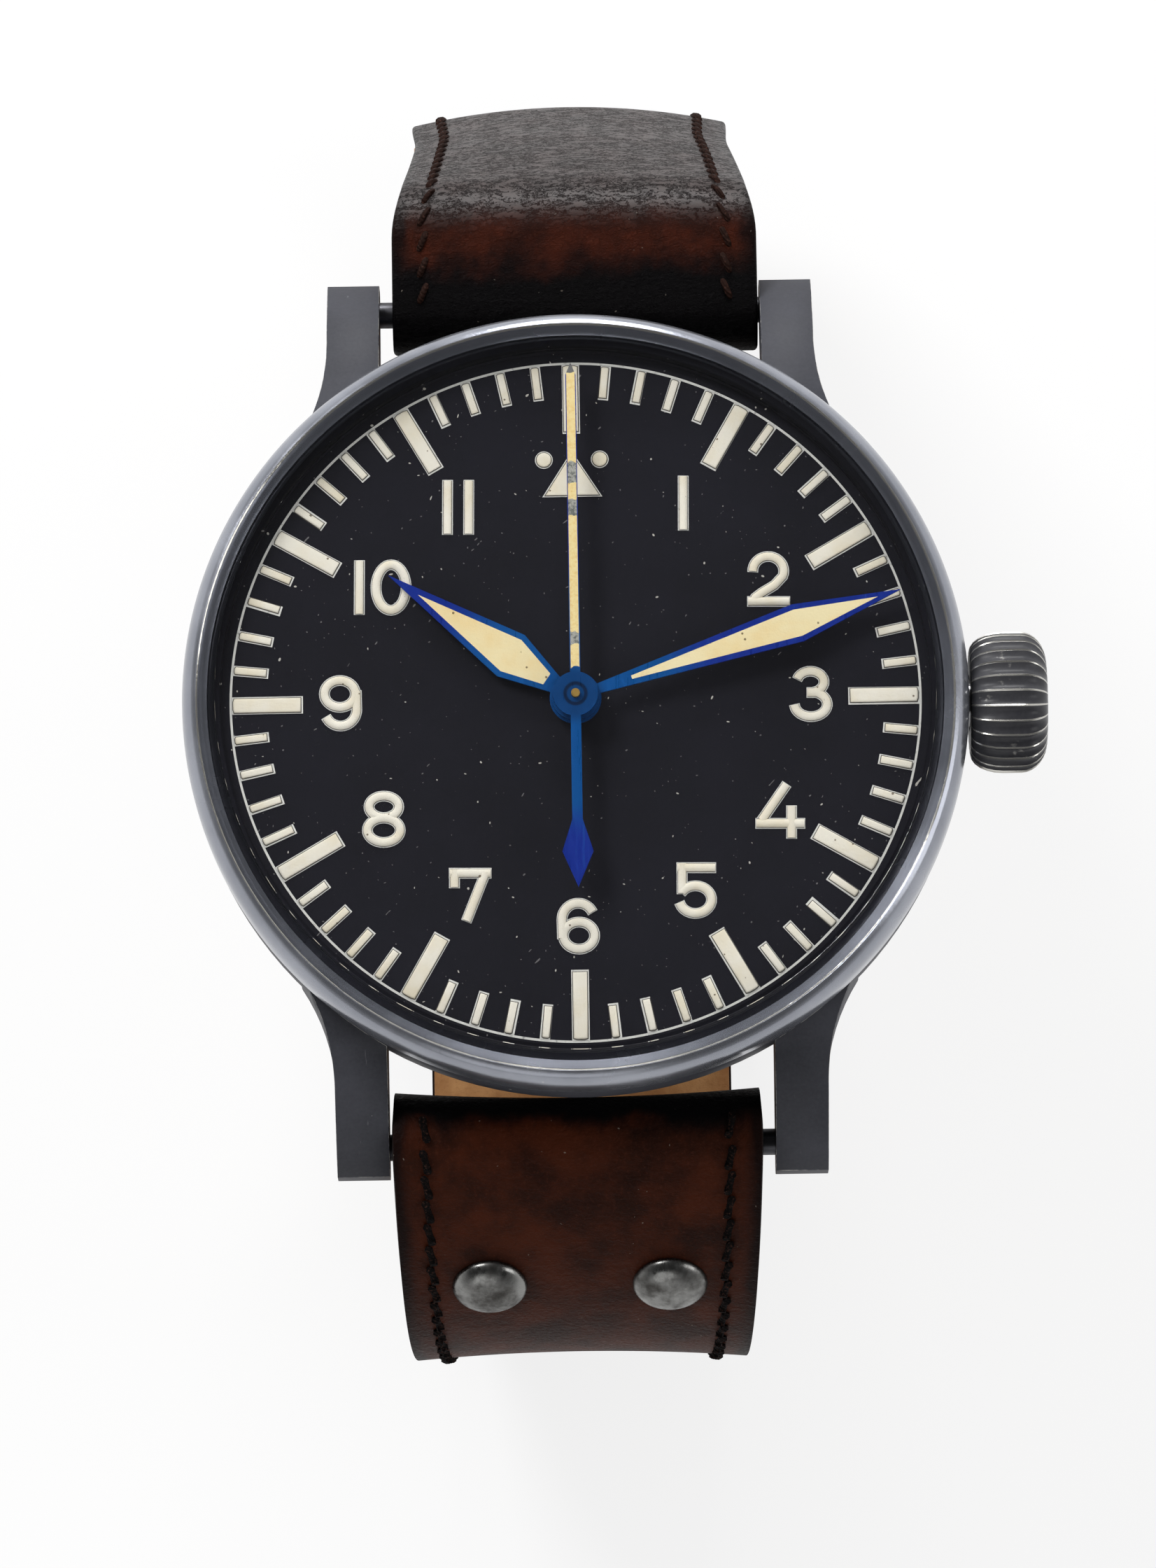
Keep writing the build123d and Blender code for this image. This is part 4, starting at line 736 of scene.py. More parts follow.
@dataclass(frozen=True)
class Finish:
    """What every finish shares: a name and plain shader values."""

    name: str
    roughness: float = 0.5
    metallic: float = 0.0
    specular: float = 0.5

    def made(self) -> bpy.types.Material:
        """Return the material, built once.

        Returns:
            The material.
        """
        if self.name in bpy.data.materials:
            return bpy.data.materials[self.name]
        material = bpy.data.materials.new(self.name)
        material.use_nodes = True
        material.node_tree.nodes.clear()
        wiring = Wiring(material.node_tree)
        values = {"Roughness": self.roughness, "Metallic": self.metallic, "Specular IOR Level": self.specular}
        shader = wiring.node("ShaderNodeBsdfPrincipled", values)
        wiring.node("ShaderNodeOutputMaterial", {"Surface": shader.outputs[0]})
        self.paint(wiring, shader, wiring.node("ShaderNodeTexCoord").outputs["Object"])
        return material

    def paint(self, wiring: Wiring, shader: bpy.types.Node, place: Link) -> None:
        """Add this finish's own nodes.

        Args:
            wiring: The material's nodes.
            shader: Its Principled shader.
            place: Object coordinates.
        """


@dataclass(frozen=True)
class CasePaint(Finish):
    """Matt dark grey paint over steel, rubbed through where hands and cloth touch it."""

    roughness: float = 0.52
    specular: float = 0.2
    polish: float = 0.0
    bare_metallic: float = 0.85
    clouding: float = 0.0
    colour: Colour = tint(62, 63, 70)
    # darker tone of the cloudiness; on the bezel also the painted shade of the inner slope
    shade: Colour = tint(50, 51, 57)
    bare: Colour = tint(196, 194, 188)
    wear: EdgeWear = EdgeWear.NONE
    wear_radius: float = 26.4
    wear_width: float = 0.3
    wear_level: float = 1.35
    stem_height: float = 7.2
    cap_radius: float = 2.9
    flutes: int = 28

    def clear_of_slope_shade(self, wiring: Wiring, place: Link) -> Link:
        """Return 0 on the inner slope, inside the worn ring, and 1 beyond it, to lay painted shade on that slope."""
        parts = wiring.parts(place)
        spread = wiring.spread(parts[0], parts[1])
        return wiring.between(spread, (self.wear_radius - 0.1) * MM, (self.wear_radius + 0.1) * MM)

    def edge(self, wiring: Wiring, place: Link) -> Any:
        """Return how exposed each point is, from 0 to 1.

        Args:
            wiring: The material's nodes.
            place: Object coordinates.

        Returns:
            A value or a socket.
        """
        parts = wiring.parts(place)
        if self.wear is EdgeWear.CREST:
            spread = wiring.spread(parts[0], parts[1])
            away = wiring.maths("ABSOLUTE", wiring.minus(spread, self.wear_radius * MM))
            return wiring.between(away, 0.0, self.wear_width * MM, 1.0, 0.0)
        if self.wear is EdgeWear.RIDGES:
            turn = wiring.maths("ARCTAN2", parts[1], wiring.minus(parts[2], self.stem_height * MM))
            ridge = wiring.maths("COSINE", wiring.times(turn, float(self.flutes)))
            height = wiring.minus(parts[2], self.stem_height * MM)
            spread = wiring.spread(parts[1], height)
            outer = wiring.between(spread, self.cap_radius * MM, (self.cap_radius + 0.5) * MM)
            return wiring.times(wiring.between(ridge, 0.86, 0.995), outer)
        return 1.0 if self.wear is EdgeWear.CORNER else 0.0

    def paint(self, wiring: Wiring, shader: bpy.types.Node, place: Link) -> None:
        """Lay paint, rubbed patches, scuffs and dust, and on the bezel painted shade on the inner slope."""
        cloud = wiring.noise(place, 120.0, 4.0, 0.6)
        grain = wiring.noise(place, 4200.0, 2.0)
        base = wiring.mix(wiring.between(cloud, 0.35, 0.7, self.clouding, 1.0), self.shade, self.colour)
        base = wiring.lay(base, grain, 0.12, tint(120, 120, 126))
        # painted shade: the bezel's inner slope takes the darker shade colour
        if self.wear is EdgeWear.CREST:
            base = wiring.mix(self.clear_of_slope_shade(wiring, place), self.shade, base)
        scuff = wiring.noise(wiring.stretched(place, (1.0, 0.08, 0.3), 37.0), 2600.0, 2.0, 0.5)
        scuffed = wiring.between(scuff, 0.72, 0.8)
        dust = specks(wiring, place, 1300.0, 0.05, 0.14)
        wear = {"Vector": place, "Edge": self.edge(wiring, place), "Scale": 420.0, "Level": self.wear_level}
        rubbed = call(wiring, wear_group(), wear).outputs[0]
        base = wiring.lay(base, scuffed, 0.35, tint(130, 130, 134))
        base = wiring.mix(rubbed, base, self.bare)
        base = wiring.lay(base, dust, 0.55, tint(205, 204, 200))
        rough = wiring.between(cloud, 0.3, 0.75, self.roughness - 0.06, self.roughness + 0.08)
        height = wiring.minus(wiring.times(grain, 0.4), wiring.times(rubbed, 0.8))
        wiring.give(shader, {
            "Base Color": base,
            "Metallic": wiring.plus(wiring.times(rubbed, self.bare_metallic - self.polish), self.polish),
            "Roughness": wiring.minus(rough, wiring.times(rubbed, 0.1)),
            "Normal": wiring.bump(height, 0.00002, 0.6),
        })


@dataclass(frozen=True)
class CutMetal(Finish):
    """Bare metal with the lines of its cutting or brushing."""

    roughness: float = 0.3
    metallic: float = 1.0
    colour: Colour = tint(176, 174, 170)
    stain: Colour = tint(120, 114, 106)
    grain: tuple[float, float, float] = (1.0, 0.05, 1.0)
    grain_scale: float = 900.0
    staining: float = 0.35
    turned: bool = False

    def paint(self, wiring: Wiring, shader: bpy.types.Node, place: Link) -> None:
        """Lay brushed or turned lines, tarnish and fine pits."""
        across = wiring.stretched(place, self.grain)
        if self.turned:
            parts = wiring.parts(place)
            spread = wiring.spread(parts[0], parts[1])
            across = wiring.node("ShaderNodeCombineXYZ", {0: spread, 1: 0.0, 2: parts[2]}).outputs[0]
        lines = brushed(wiring, across, self.grain_scale)
        cloud = wiring.noise(place, 260.0, 5.0, 0.65)
        pits = specks(wiring, place, 2400.0, 0.12, 0.3)
        tarnish = wiring.times(wiring.between(cloud, 0.42, 0.7), self.staining)
        base = wiring.mix(tarnish, self.colour, self.stain)
        base = wiring.lay(base, pits, 0.5, self.stain)
        rough = wiring.between(lines, 0.3, 0.7, self.roughness - 0.07, self.roughness + 0.1)
        wiring.give(shader, {
            "Base Color": base,
            "Roughness": wiring.plus(rough, wiring.times(tarnish, 0.3)),
            "Normal": wiring.bump(wiring.minus(lines, wiring.times(pits, 0.6)), 0.000012, 0.5),
        })


@dataclass(frozen=True)
class DialPaint(Finish):
    """Matt blue-black dial paint with dust and pin holes."""

    roughness: float = 0.62
    specular: float = 0.08
    colour: Colour = tint(24, 24, 31)
    dust: float = 0.12

    def paint(self, wiring: Wiring, shader: bpy.types.Node, place: Link) -> None:
        """Lay paint, dust in two sizes and faint smears."""
        cloud = wiring.noise(place, 90.0, 4.0, 0.6)
        grain = wiring.noise(place, 6500.0, 2.0, 0.6)
        base = wiring.shift(cloud, 0.3, 0.75, self.colour, tint(29, 29, 37))
        base = wiring.shift(grain, 0.55, 0.85, base, tint(37, 36, 43))
        large = specks(wiring, place, 880.0, self.dust, 0.09, "2D")
        small = specks(wiring, place, 1700.0, self.dust * 1.6, 0.1, "2D")
        base = wiring.lay(base, small, 0.55, tint(150, 148, 148))
        base = wiring.lay(base, large, 0.85, tint(214, 210, 200))
        wiring.give(shader, {
            "Base Color": base,
            "Roughness": wiring.between(cloud, 0.3, 0.7, self.roughness - 0.06, self.roughness + 0.06),
            "Normal": wiring.bump(wiring.plus(wiring.times(grain, 0.4), large), 0.00001, 0.5),
        })


@dataclass(frozen=True)
class Lume(Finish):
    """Aged luminous paste: cream and grainy, darker at its low foot."""

    roughness: float = 0.85
    specular: float = 0.15
    colour: Colour = tint(253, 248, 233)
    aged: Colour = tint(244, 234, 208)
    dirt: Colour = tint(96, 74, 50)
    foot: float = 10.35
    crest: float = 10.39

    def paint(self, wiring: Wiring, shader: bpy.types.Node, place: Link) -> None:
        """Lay paste, brown specks and a darker band at the low foot."""
        cloud = wiring.noise(place, 260.0, 4.0, 0.6)
        grain = wiring.noise(place, 5200.0, 3.0, 0.7)
        height = wiring.parts(place)[2]
        spots = specks(wiring, place, 2600.0, 0.1, 0.28)
        # darker band where the paste is lowest, at its foot
        rim = wiring.between(height, self.foot * MM, self.crest * MM, 1.0, 0.0)
        broken = wiring.between(wiring.plus(rim, wiring.noise(place, 2400.0, 3.0, 0.7)), 0.8, 1.2)
        base = wiring.shift(cloud, 0.4, 0.72, self.colour, self.aged)
        base = wiring.shift(grain, 0.58, 0.82, base, tint(190, 176, 146), 0.35)
        base = wiring.lay(base, spots, 0.8, self.dirt)
        base = wiring.lay(base, broken, 0.9, tint(44, 40, 36))
        wiring.give(shader, {"Base Color": base, "Normal": wiring.bump(grain, 0.00004, 0.7)})


@dataclass(frozen=True)
class BluedSteel(Finish):
    """Heat-blued steel, shifting from bright blue to violet blue."""

    roughness: float = 0.34
    metallic: float = 0.35
    specular: float = 0.3
    bright_reach: float = 9.0
    hub_ring: float = 0.72

    def paint(self, wiring: Wiring, shader: bpy.types.Node, place: Link) -> None:
        """Lay the bloom of the heat, fine lines, painted shade towards the hub, a dark ring at the hub and worn dots.
        """
        bloom = wiring.noise(place, 75.0, 3.0, 0.5)
        lines = brushed(wiring, wiring.stretched(place, (1.0, 0.1, 1.0)), 1500.0)
        parts = wiring.parts(place)
        spread = wiring.spread(parts[0], parts[1])
        shifted = wiring.plus(spread, wiring.times(wiring.minus(bloom, 0.5), 0.008))
        far = wiring.between(shifted, (self.bright_reach - 2.5) * MM, (self.bright_reach + 1.0) * MM)
        base = wiring.mix(far, tint(2, 90, 166), tint(18, 50, 158))
        base = wiring.shift(lines, 0.55, 0.8, base, tint(10, 106, 176), 0.3)
        # painted shade: darker blue towards the hub
        base = wiring.mix(wiring.between(spread, 1.3 * MM, 2.4 * MM, 0.55, 0.0), base, tint(3, 44, 90))
        ring = wiring.maths("ABSOLUTE", wiring.minus(spread, self.hub_ring * MM))
        base = wiring.mix(wiring.between(ring, 0.05 * MM, 0.2 * MM, 0.8, 0.0), base, tint(4, 22, 48))
        dots = specks(wiring, place, 1500.0, 0.06, 0.14)
        base = wiring.lay(base, dots, 0.6, tint(130, 170, 214))
        wiring.give(shader, {
            "Base Color": base,
            "Roughness": wiring.between(lines, 0.3, 0.7, self.roughness - 0.08, self.roughness + 0.08),
            "Normal": wiring.bump(lines, 0.000006, 0.5),
        })


@dataclass(frozen=True)
class SecondsPaint(BluedSteel):
    """The seconds hand: blued steel with a pale luminous bar that is bare in places."""

    bar_start: float = 1.9
    bar_end: float = 22.9
    bare_spans: tuple[Point, ...] = ((14.95, 16.45), (12.65, 13.75), (3.5, 4.35))
    bar_half: float = 0.3

    def paint(self, wiring: Wiring, shader: bpy.types.Node, place: Link) -> None:
        """Lay the blue, then the luminous bar, its bare patches and the grey tip."""
        super().paint(wiring, shader, place)
        blue = shader.inputs["Base Color"].links[0].from_socket
        parts = wiring.parts(place)
        ragged = wiring.times(wiring.minus(wiring.noise(place, 2600.0, 3.0), 0.5), 0.0006)
        along = wiring.plus(parts[1], ragged)
        bar = self.span(wiring, along, self.bar_start, self.bar_end)
        side = wiring.maths("LESS_THAN", wiring.maths("ABSOLUTE", parts[0]), self.bar_half * MM)
        bare: Any = 0.0
        for start, end in self.bare_spans:
            bare = wiring.maths("MAXIMUM", bare, self.span(wiring, along, start, end))
        grain = wiring.noise(place, 5200.0, 3.0, 0.7)
        paste = wiring.shift(grain, 0.4, 0.75, tint(255, 234, 170), tint(244, 206, 132))
        metal = wiring.shift(grain, 0.4, 0.65, tint(182, 182, 174), tint(104, 108, 104))
        tip = wiring.maths("GREATER_THAN", along, self.bar_end * MM)
        covered = wiring.times(bar, side)
        front = wiring.mix(bare, paste, metal)
        result = wiring.mix(covered, blue, front)
        result = wiring.mix(tip, result, tint(128, 128, 128))
        wiring.give(shader, {"Base Color": result, "Metallic": wiring.times(wiring.minus(1.0, covered), 0.35)})

    def span(self, wiring: Wiring, along: Link, start: float, end: float) -> Link:
        """Return 1 between two distances along the hand, in millimetres."""
        after = wiring.maths("GREATER_THAN", along, start * MM)
        return wiring.times(after, wiring.maths("LESS_THAN", along, end * MM))


@dataclass(frozen=True)
class Leather(Finish):
    """Waxed brown strap leather, black near the case with painted shade over darkened leather, grey where it shines."""

    roughness: float = 0.5
    specular: float = 0.1
    colour: Colour = tint(68, 24, 11)
    deep: Colour = tint(36, 13, 8)
    black: Colour = tint(5, 4, 5)
    bent: Colour = tint(30, 17, 14)
    wax: float = 0.0
    wax_from: float = 13.2
    wax_to: float = 16.4
    wax_roughness: float = 0.5
    creases: float = 0.2
    grain_scale: float = 2900.0
    # span along the strap over which the black near the bar, painted shade of the case over darkened leather, fades out
    dark_from: float = 9.5
    dark_to: float = 12.0
    half_width: float = 13.0
    bump_depth: float = 0.00009
    sheen: float = 0.02

    def paint(self, wiring: Wiring, shader: bpy.types.Node, place: Link) -> None:
        """Lay colour, painted shade of the case over darkened leather near the bar, blackened edges, grain, and painted
        shade in the creases of the bend, on the strap's own UV map.
        """
        flat_place = wiring.node("ShaderNodeUVMap", uv_map="UVMap").outputs[0]
        parts = wiring.parts(flat_place)
        grain = call(wiring, hide_group(), {"Vector": flat_place, "Scale": self.grain_scale, "Creases": self.creases})
        cloud = grain.outputs["Cloud"]
        base = wiring.shift(cloud, 0.35, 0.68, self.deep, self.colour)
        base = wiring.shift(grain.outputs["Grain"], 0.5, 0.8, base, tint(92, 50, 36), 0.3)
        ragged = wiring.times(wiring.minus(cloud, 0.5), 0.004)
        # painted shade of the case over darkened leather: black near the bar, fading out along the strap
        near_bar_shade_and_wear = wiring.between(wiring.plus(parts[0], ragged), self.dark_from * MM, self.dark_to * MM, 1.0, 0.0)
        side = wiring.maths("ABSOLUTE", parts[1])
        rim = wiring.between(wiring.plus(side, ragged), (self.half_width - 1.3) * MM, (self.half_width - 0.1) * MM)
        base = wiring.lay(base, rim, 0.85, self.black)
        base = wiring.mix(near_bar_shade_and_wear, base, self.black)
        if self.wax:
            bend = wiring.between(parts[0], self.wax_from * MM, self.wax_to * MM)
            base = wiring.lay(base, bend, 0.72, self.bent)
            # painted shade: the creases of the bend are darkened towards black
            crease_shade = wiring.between(grain.outputs["Height"], -0.2, 0.25, 0.75, 0.0)
            base = wiring.mix(wiring.times(crease_shade, bend), base, self.black)
        dust = specks(wiring, flat_place, 1500.0, 0.05, 0.1, "2D")
        base = wiring.lay(base, dust, 0.4, tint(150, 140, 130))
        wiring.give(shader, {
            "Base Color": base,
            "Roughness": wiring.between(grain.outputs["Grain"], 0.3, 0.75, self.roughness - 0.05, self.roughness + 0.1),
            "Sheen Weight": self.sheen,
            "Normal": wiring.bump(grain.outputs["Height"], self.bump_depth, 0.7),
        })
        if self.wax:
            smooth = wiring.between(grain.outputs["Height"], -0.2, 0.35, 0.1, 1.0)
            zone = wiring.between(parts[0], self.wax_from * MM, self.wax_to * MM, 0.0, self.wax)
            wiring.give(shader, {"Coat Weight": wiring.times(smooth, zone), "Coat Roughness": self.wax_roughness})


@dataclass(frozen=True)
class RawEdge(Finish):
    """Fibrous cut edge of leather or lining."""

    roughness: float = 0.85
    colour: Colour = tint(96, 46, 32)
    fibre: Colour = tint(148, 92, 70)

    def paint(self, wiring: Wiring, shader: bpy.types.Node, place: Link) -> None:
        """Lay fibres in two colours."""
        fibres = wiring.noise(wiring.stretched(place, (1.0, 1.0, 0.6)), 3600.0, 4.0, 0.75)
        cloud = wiring.noise(place, 380.0, 3.0)
        base = wiring.shift(fibres, 0.4, 0.7, self.colour, self.fibre)
        base = wiring.shift(cloud, 0.45, 0.7, base, tint(30, 20, 18), 0.7)
        wiring.give(shader, {"Base Color": base, "Normal": wiring.bump(fibres, 0.00012, 0.9)})


@dataclass(frozen=True)
class Thread(Finish):
    """Twisted waxed linen thread."""

    roughness: float = 0.75
    specular: float = 0.08
    colour: Colour = tint(32, 17, 12)

    def paint(self, wiring: Wiring, shader: bpy.types.Node, place: Link) -> None:
        """Lay the twist and worn fibres."""
        turns = {"Vector": place, "Scale": 1500.0, "Distortion": 3.0, "Detail": 2.0}
        twist = wiring.node("ShaderNodeTexWave", turns, bands_direction="DIAGONAL").outputs[1]
        fibres = wiring.noise(place, 5200.0, 3.0, 0.7)
        base = wiring.shift(fibres, 0.5, 0.8, self.colour, tint(74, 48, 40))
        wiring.give(shader, {"Base Color": base, "Normal": wiring.bump(twist, 0.00006, 0.8)})


@dataclass(frozen=True)
class ClearCrystal(Finish):
    """Clear acrylic that lets the studio light through to the dial."""

    roughness: float = 0.0
    specular: float = 0.3
    ior: float = 1.49

    def paint(self, wiring: Wiring, shader: bpy.types.Node, place: Link) -> None:
        """Make it glass, and let shadow rays pass."""
        dust = specks(wiring, place, 420.0, 0.012, 0.06)
        wiring.give(shader, {"Transmission Weight": 1.0, "IOR": self.ior, "Roughness": wiring.times(dust, 0.5)})
        clear = wiring.node("ShaderNodeBsdfTransparent")
        rays = wiring.node("ShaderNodeLightPath").outputs
        passing = wiring.maths("MAXIMUM", rays["Is Shadow Ray"], rays["Is Diffuse Ray"])
        mixed = wiring.node("ShaderNodeMixShader", {0: passing, 1: shader.outputs[0], 2: clear.outputs[0]})
        output = next(node for node in wiring.tree.nodes if node.type == "OUTPUT_MATERIAL")
        wiring.give(output, {"Surface": mixed.outputs[0]})


@dataclass(frozen=True)
class Ruby(Finish):
    """Synthetic ruby of the jewels."""

    roughness: float = 0.12
    colour: Colour = tint(150, 16, 42)

    def paint(self, wiring: Wiring, shader: bpy.types.Node, place: Link) -> None:
        """Lay a deep red with lighter growth clouds."""
        cloud = wiring.noise(place, 1400.0, 3.0)
        base = wiring.mix(cloud, self.colour, tint(196, 44, 70))
        wiring.give(shader, {"Base Color": base, "Coat Weight": 0.6})


@dataclass(frozen=True)
class Print(Finish):
    """White dial print, slightly broken."""

    roughness: float = 0.6
    colour: Colour = tint(232, 232, 226)

    def paint(self, wiring: Wiring, shader: bpy.types.Node, place: Link) -> None:
        """Lay white ink that thins out in places."""
        thin = wiring.noise(place, 2600.0, 4.0, 0.7)
        base = wiring.shift(thin, 0.55, 0.8, self.colour, tint(96, 94, 96), 0.8)
        wiring.give(shader, {"Base Color": base, "Normal": wiring.bump(thin, 0.00001, 0.4)})


# shade is the bezel's darker cloud tone and the painted shade of its inner slope
BEZEL_PAINT = CasePaint(
    "bezel_paint", roughness=0.24, specular=0.5, polish=0.75, clouding=0.6, colour=tint(166, 169, 178),
    shade=tint(112, 115, 124), wear=EdgeWear.CREST, wear_radius=26.42, wear_width=0.16, wear_level=1.25,
)
BAND_PAINT = CasePaint("band_paint")
CORNER_PAINT = CasePaint("corner_paint", wear=EdgeWear.CORNER, wear_level=1.62)
CROWN_PAINT = CasePaint(
    "crown_paint", roughness=0.34, colour=tint(67, 67, 70), shade=tint(43, 43, 47), wear=EdgeWear.RIDGES,
    wear_level=0.85,
)
BACK_STEEL = CutMetal("back_steel", roughness=0.34, colour=tint(150, 149, 147), turned=True)
BAR_STEEL = CutMetal(
    "bar_steel", roughness=0.4, colour=tint(84, 84, 88), stain=tint(40, 38, 38), grain=(0.05, 1.0, 1.0)
)
SOFT_IRON = CutMetal("soft_iron_plate", roughness=0.5, colour=tint(112, 110, 108), turned=True)
RING_METAL = CutMetal("movement_ring_metal", roughness=0.42, colour=tint(150, 146, 136), turned=True)
FLANGE_PAINT = DialPaint("flange_paint", roughness=0.5, colour=tint(24, 24, 29), dust=0.015)
DIAL_PAINT = DialPaint("dial_face_paint")
PLATE_METAL = CutMetal(
    "plate_gilding", roughness=0.4, colour=tint(196, 170, 112), stain=tint(140, 110, 66), grain=(1.0, 1.0, 1.0),
    grain_scale=2600.0,
)
WHEEL_BRASS = CutMetal(
    "wheel_gilding", roughness=0.28, colour=tint(214, 178, 98), stain=tint(150, 112, 56), turned=True
)
BALANCE_BRASS = CutMetal("balance_gold", roughness=0.2, colour=tint(222, 190, 116), stain=tint(160, 124, 66))
POLISHED_STEEL = CutMetal(
    "polished_steel", roughness=0.18, colour=tint(190, 190, 190), stain=tint(120, 120, 124), staining=0.2
)
SPRING_STEEL = CutMetal("spring_blue", roughness=0.25, colour=tint(62, 84, 140), stain=tint(40, 46, 90))
RIVET_STEEL = CutMetal(
    "rivet_steel", roughness=0.24, colour=tint(136, 136, 134), stain=tint(56, 53, 50), grain=(1.0, 0.6, 1.0),
    staining=0.9,
)
WORN_STEEL = CutMetal(
    "worn_buckle_steel", roughness=0.36, colour=tint(104, 102, 100), stain=tint(52, 46, 42), grain=(1.0, 0.3, 1.0),
    staining=0.7,
)
BLUE = BluedSteel("hand_blueing")
SECONDS_PAINT = SecondsPaint("seconds_hand_paint")
HAND_LUME = Lume("hand_paste", colour=tint(255, 240, 192), aged=tint(251, 224, 164), foot=10.0, crest=10.01)
DIAL_LUME = Lume("dial_paste")
DIAL_PRINT = Print("dial_ink")
CRYSTAL = ClearCrystal("clear_acrylic")
JEWEL = Ruby("ruby")
# dark_from and dark_to place the painted shade of the case, over darkened leather, near each bar
UPPER_LEATHER = Leather(
    "upper_leather", specular=0.05, sheen=0.0, colour=tint(62, 25, 13), deep=tint(40, 16, 9), dark_from=9.6,
    dark_to=13.0, creases=0.75, grain_scale=4600.0, wax=1.0, bump_depth=0.00013,
)
LOWER_LEATHER = Leather(
    "lower_leather", specular=0.06, colour=tint(66, 27, 10), deep=tint(36, 14, 6), dark_from=6.2, dark_to=8.2,
    bump_depth=0.00014,
)
KEEPER_LEATHER = Leather("keeper_leather", dark_from=-4.0, dark_to=-3.0, half_width=40.0)
LINING = Leather(
    "lining_suede", roughness=0.8, colour=tint(176, 132, 86), deep=tint(142, 98, 58), dark_from=-4.0, dark_to=-3.0,
    half_width=40.0, sheen=0.3,
)
EDGE = RawEdge("raw_edge")
THREAD = Thread("linen_thread")
DARK_THREAD = Thread("dark_thread", colour=tint(9, 6, 6))


# Studio


@dataclass
class Studio:
    """Pale floor, soft light, white surround and the camera."""

    floor_gap: float = 0.05
    floor_size: float = 4.0
    tilt: float = 10.3
    roll: float = 0.92
    aim: Point = (0.166, -5.78)
    dial_height: float = 10.3
    distance: float = 650.0
    lens: float = 213.5
    sensor: float = 36.0
    surround: float = 0.42
    ceiling: float = 0.06
    floor_white: float = 0.78
    lamps: tuple[tuple[str, Place, float, float], ...] = (
        ("key", (-245, 290, 370), 180, 1.7),
        ("far_strip", (10, 420, 150), 120, 0.9),
        ("right_fill", (380, -60, 260), 220, 0.4),
        ("front_fill", (-60, -420, 160), 260, 0.2),
    )

    def build(self) -> None:
        """Build the floor, the surround, the lamps and the camera."""
        bpy.context.scene.view_settings.view_transform = "Standard"
        self.lay_floor()
        self.light_world()
        for lamp in self.lamps:
            self.hang_lamp(*lamp)
        self.place_camera()

    def lay_floor(self) -> None:
        """Lay the floor under the strap, with a soft mottled white finish."""
        low = min(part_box(node)[0].z for node in ("lower_strap", "buckle_frame", "fixed_keeper", "sliding_keeper"))
        bpy.ops.mesh.primitive_grid_add(x_subdivisions=8, y_subdivisions=8, size=self.floor_size, location=(0, 0, 0))
        floor = bpy.context.object
        floor.name = "studio_floor"
        for vertex in floor.data.vertices:
            vertex.co.z = low - self.floor_gap * MM
        floor.data.materials.append(self.floor_finish())

    def floor_finish(self) -> bpy.types.Material:
        """Return the floor's finish: white to the camera, and still shaded by the watch.

        Returns:
            The material.
        """
        material = bpy.data.materials.new("studio_floor_paper")
        material.use_nodes = True
        material.node_tree.nodes.clear()
        wiring = Wiring(material.node_tree)
        place = wiring.node("ShaderNodeTexCoord").outputs["Object"]
        paper = wiring.mix(wiring.noise(place, 3.0), tint(244, 244, 244), tint(247, 247, 247))
        matt = wiring.node("ShaderNodeBsdfDiffuse", {"Color": paper})
        white = wiring.node("ShaderNodeEmission", {"Color": (1, 1, 1, 1), "Strength": 1.0})
        rays = wiring.node("ShaderNodeLightPath").outputs
        mirrored = wiring.maths("MAXIMUM", rays["Is Glossy Ray"], rays["Is Transmission Ray"])
        share = wiring.times(wiring.maths("MAXIMUM", rays["Is Camera Ray"], mirrored), self.floor_white)
        mixed = wiring.node("ShaderNodeMixShader", {0: share, 1: matt.outputs[0], 2: white.outputs[0]})
        wiring.node("ShaderNodeOutputMaterial", {"Surface": mixed.outputs[0]})
        return material

    def light_world(self) -> None:
        """Surround the watch with white to the eye, under a darker ceiling in reflections."""
        world = bpy.data.worlds.new("studio_surround")
        bpy.context.scene.world = world
        world.use_nodes = True
        world.node_tree.nodes.clear()
        wiring = Wiring(world.node_tree)
        parts = wiring.parts(wiring.node("ShaderNodeTexCoord").outputs["Generated"])
        front = wiring.between(parts[1], -0.9, -0.2, 0.3, 1.0)
        ceiling = wiring.times(wiring.between(parts[2], 0.0, 0.62, 1.0, self.ceiling), front)
        rays = wiring.node("ShaderNodeLightPath").outputs
        light, mirrored, white = (
            wiring.node("ShaderNodeBackground", {"Color": (1, 1, 1, 1), "Strength": strength})
            for strength in (self.surround, ceiling, 1.0)
        )
        glossy = wiring.maths("MINIMUM", rays["Glossy Depth"], 1.0)
        soft = wiring.node("ShaderNodeMixShader", {0: glossy, 1: light.outputs[0], 2: mirrored.outputs[0]})
        bounced = wiring.plus(rays["Glossy Depth"], rays["Diffuse Depth"])
        direct = wiring.minus(1.0, bounced, clamp=True)
        through = wiring.times(rays["Is Transmission Ray"], direct)
        seen = wiring.maths("MAXIMUM", rays["Is Camera Ray"], through)
        mixed = wiring.node("ShaderNodeMixShader", {0: seen, 1: soft.outputs[0], 2: white.outputs[0]})
        wiring.node("ShaderNodeOutputWorld", {"Surface": mixed.outputs[0]})

    def hang_lamp(self, name: str, place: Place, size: float, power: float) -> None:
        """Hang a square soft lamp that faces the watch.

        Args:
            name: Name of the lamp.
            place: Where it hangs, in millimetres.
            size: Its side in millimetres.
            power: Watts.
        """
        spot = Vector(place) * MM
        bpy.ops.object.light_add(type="AREA", location=spot)
        lamp = bpy.context.object
        lamp.name = name
        lamp.data.shape = "SQUARE"
        lamp.data.size = size * MM
        lamp.data.energy = power
        lamp.rotation_euler = spot.to_track_quat("Z", "Y").to_euler()

